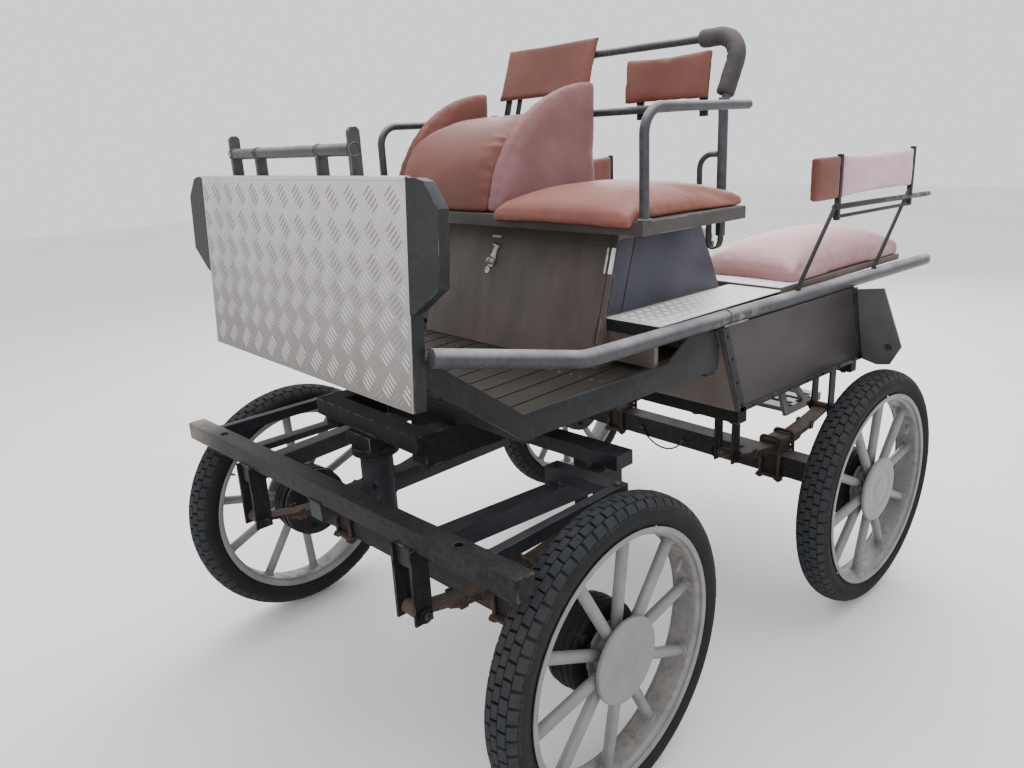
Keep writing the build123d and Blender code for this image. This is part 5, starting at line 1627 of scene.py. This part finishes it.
def build_cushions():
    # rolled driver's seat
    roll = [(254, 1066), (257, 1085), (261, 1110), (267, 1135), (277, 1160), (291, 1188), (312, 1216), (341, 1238), (384, 1254), (425, 1263), (467, 1269), (525, 1274), (582, 1276), (584, 1068)]
    s = Shape().prism(roll, "x", -374, -24, 3.0)
    open_roll = roll[:-1]
    seams = [([(x, y, z) for y, z in open_roll], False, 2.6) for x in (-369, -29)]
    near = ROOT @ Vector((-29, 290, 1140))
    soft("driver_roll", s, seams, M["leather"], ("driver_seat_roll",), 0.0085, 0.010, pin=lambda c: c.z < 1.071, pressure=3.5, pucker=1.5, smooth=3,
         gather=((near, 2.6, 0.11),))
    # cheeks
    for nm, x0, cad in (("cheek_left", -22.0, ("driver_seat_cheeks",)), ("cheek_right", -416.0, ())):
        q = quarter(260 if x0 > -100 else 277, 593, 1068, 1351)[:-1] + [(594, 1068)]
        s = Shape().prism(q, "x", x0 + 1.5, x0 + 38.5, 2.5)
        seams = [([(x, y, z) for y, z in q[:-1]] + [(x, 594, 1068)], False, 2.0) for x in (x0 + 2.5, x0 + 37.5)]
        soft(nm, s, seams, M["leather_mauve"] if x0 > -100 else M["leather"], cad, 0.0065, 0.008, pin=lambda c: c.z < 1.071, pressure=2.5, pucker=0.7, smooth=2)
    # passenger cushion
    s, seam = pillow(22, 419, 246, 586, 1067.3, 1119, 17.0, 3.4, 0.012, stretch=(12.0, 6.0), lip=(9.0, 17.0))
    soft("passenger_pad", s, [(seam, True, 1.6)], M["leather_pad"], ("passenger_cushion",), 0.0070, 0.012, pin=lambda c: c.z < 1.0685, pressure=3.0, pucker=1.6, smooth=2)
    # benches
    s, seam = pillow(162, 437, 798, 1356, 866.3, 957, 32.0, 2.4, 0.03)
    soft("bench_pad", s, [(seam, True, 2.0)], M["leather_bench"], ("bench_cushions",), 0.0085, 0.016, pin=lambda c: c.z < 0.8675, pressure=3.5, pucker=1.6, smooth=2, mirror=True)
    # front backrests
    def back(x0, x1, y, z0, z1, t, lean):
        b = Shape()
        prof = [(y, z0), (y + (z1 - z0) * lean, z1 + 1), (y + (z1 - z0) * lean + t, z1 + 1), (y + t, z0)]
        b.prism(prof, "x", x0 - 0.5, x1 + 0.5, 1.2)
        f = [(x0 + 1, y + 1, z0 + 1.5), (x1 - 1, y + 1, z0 + 1.5), (x1 - 1, y + (z1 - z0) * lean, z1 - 0.5), (x0 + 1, y + (z1 - z0) * lean, z1 - 0.5)]
        g = [(a, bb + t - 2, c) for a, bb, c in f]
        return b, [(f, True, 1.5), (g, True, 1.5)]
    b, se = back(-352, -28, 600, 1318, 1450, 14, 0.37)
    soft("driver_backrest", b, se, M["leather"], ("front_backrests",), 0.0042, 0.004, pressure=2.0, pucker=0.5, smooth=1)
    b, se = back(104, 334, 586, 1285, 1381, 18, 0.12)
    soft("passenger_backrest", b, se, M["leather"], (), 0.0055, 0.006, pressure=2.0, pucker=0.6, smooth=1)
    # bench backrests
    for nm, q, y0, y1, m, cad in (("bench_backrest", 1, 953, 1330, "leather_back", ("bench_backrests",)), ("bench_backrest_right", -1, 953, 1169, "leather", ()),
                                  ("bench_pad_front", 1, 829, 937.5, "leather", ()), ("bench_pad_front_right", -1, 829, 937.5, "leather", ())):
        a, c = sorted((q * 445, q * 467))
        b = Shape().box(a, c, y0, y1, 1051, 1149, 2.0)
        se = [([(x, y0 + 2, 1053), (x, y1 - 2, 1053), (x, y1 - 2, 1147), (x, y0 + 2, 1147)], True, 1.5) for x in (q * 446, q * 466)]
        soft(nm, b, se, M[m], cad, 0.0050, 0.005, pressure=2.0, pucker=0.7, smooth=1)


# --------------------------------------------------------------- studio, camera
def camera():
    cam = bpy.data.cameras.new("camera")
    ob = bpy.data.objects.new("camera", cam)
    bpy.context.scene.collection.objects.link(ob)
    cam.sensor_width = 36.0
    cam.lens = 802.50 / 1024.0 * 36.0
    cam.clip_start, cam.clip_end = 0.05, 60.0
    w = Vector((1.7651, 0.7508, -0.6208))
    rm = Matrix.Rotation(w.length, 3, w.normalized())
    rot = rm.transposed() @ Matrix(((1, 0, 0), (0, -1, 0), (0, 0, -1)))
    c = Vector((1.3977, -0.9199 + YS, 1.2301))
    ob.matrix_world = Matrix.Translation(c) @ rot.to_4x4()
    bpy.context.scene.camera = ob


def light(name, loc, target, size, power, color=(1, 1, 1)):
    d = bpy.data.lights.new(name, "AREA")
    d.shape = "RECTANGLE"
    d.size, d.size_y = size
    d.energy = power
    d.color = color
    ob = bpy.data.objects.new(name, d)
    bpy.context.scene.collection.objects.link(ob)
    v = Vector(target) - Vector(loc)
    ob.matrix_world = Matrix.Translation(Vector(loc)) @ v.to_track_quat("-Z", "Y").to_matrix().to_4x4()


def studio():
    me = bpy.data.meshes.new("floor")
    me.from_pydata([(-14, -14, 0), (14, -14, 0), (14, 14, 0), (-14, 14, 0)], [], [(0, 1, 2, 3)])
    me.materials.append(M["floor"])
    fl = bpy.data.objects.new("floor", me)
    bpy.context.scene.collection.objects.link(fl)
    w = bpy.data.worlds.new("studio")
    bpy.context.scene.world = w
    w.use_nodes = True
    bg = w.node_tree.nodes["Background"]
    bg.inputs[0].default_value = (0.96, 0.97, 1.0, 1)
    bg.inputs[1].default_value = 1.27
    light("overhead", (-0.6, 0.9, 3.6), (0.0, 0.0, 0.6), (4.2, 4.2), 130)
    light("window", (-2.6, 3.2, 2.2), (0.0, 0.2, 0.9), (3.4, 2.2), 110, (0.95, 0.97, 1.0))
    light("front_fill", (3.0, -2.6, 2.4), (0.0, 0.0, 0.7), (2.6, 2.0), 30, (1.0, 0.97, 0.94))


build_wheels()
build_gear()
build_dashboard()
build_body()
build_rails()
build_cushions()
for n, ob in NODES.items():
    if n not in LEAVE:
        ob.data.materials.clear()
        ob.data.materials.append(M["steel"])
camera()
studio()
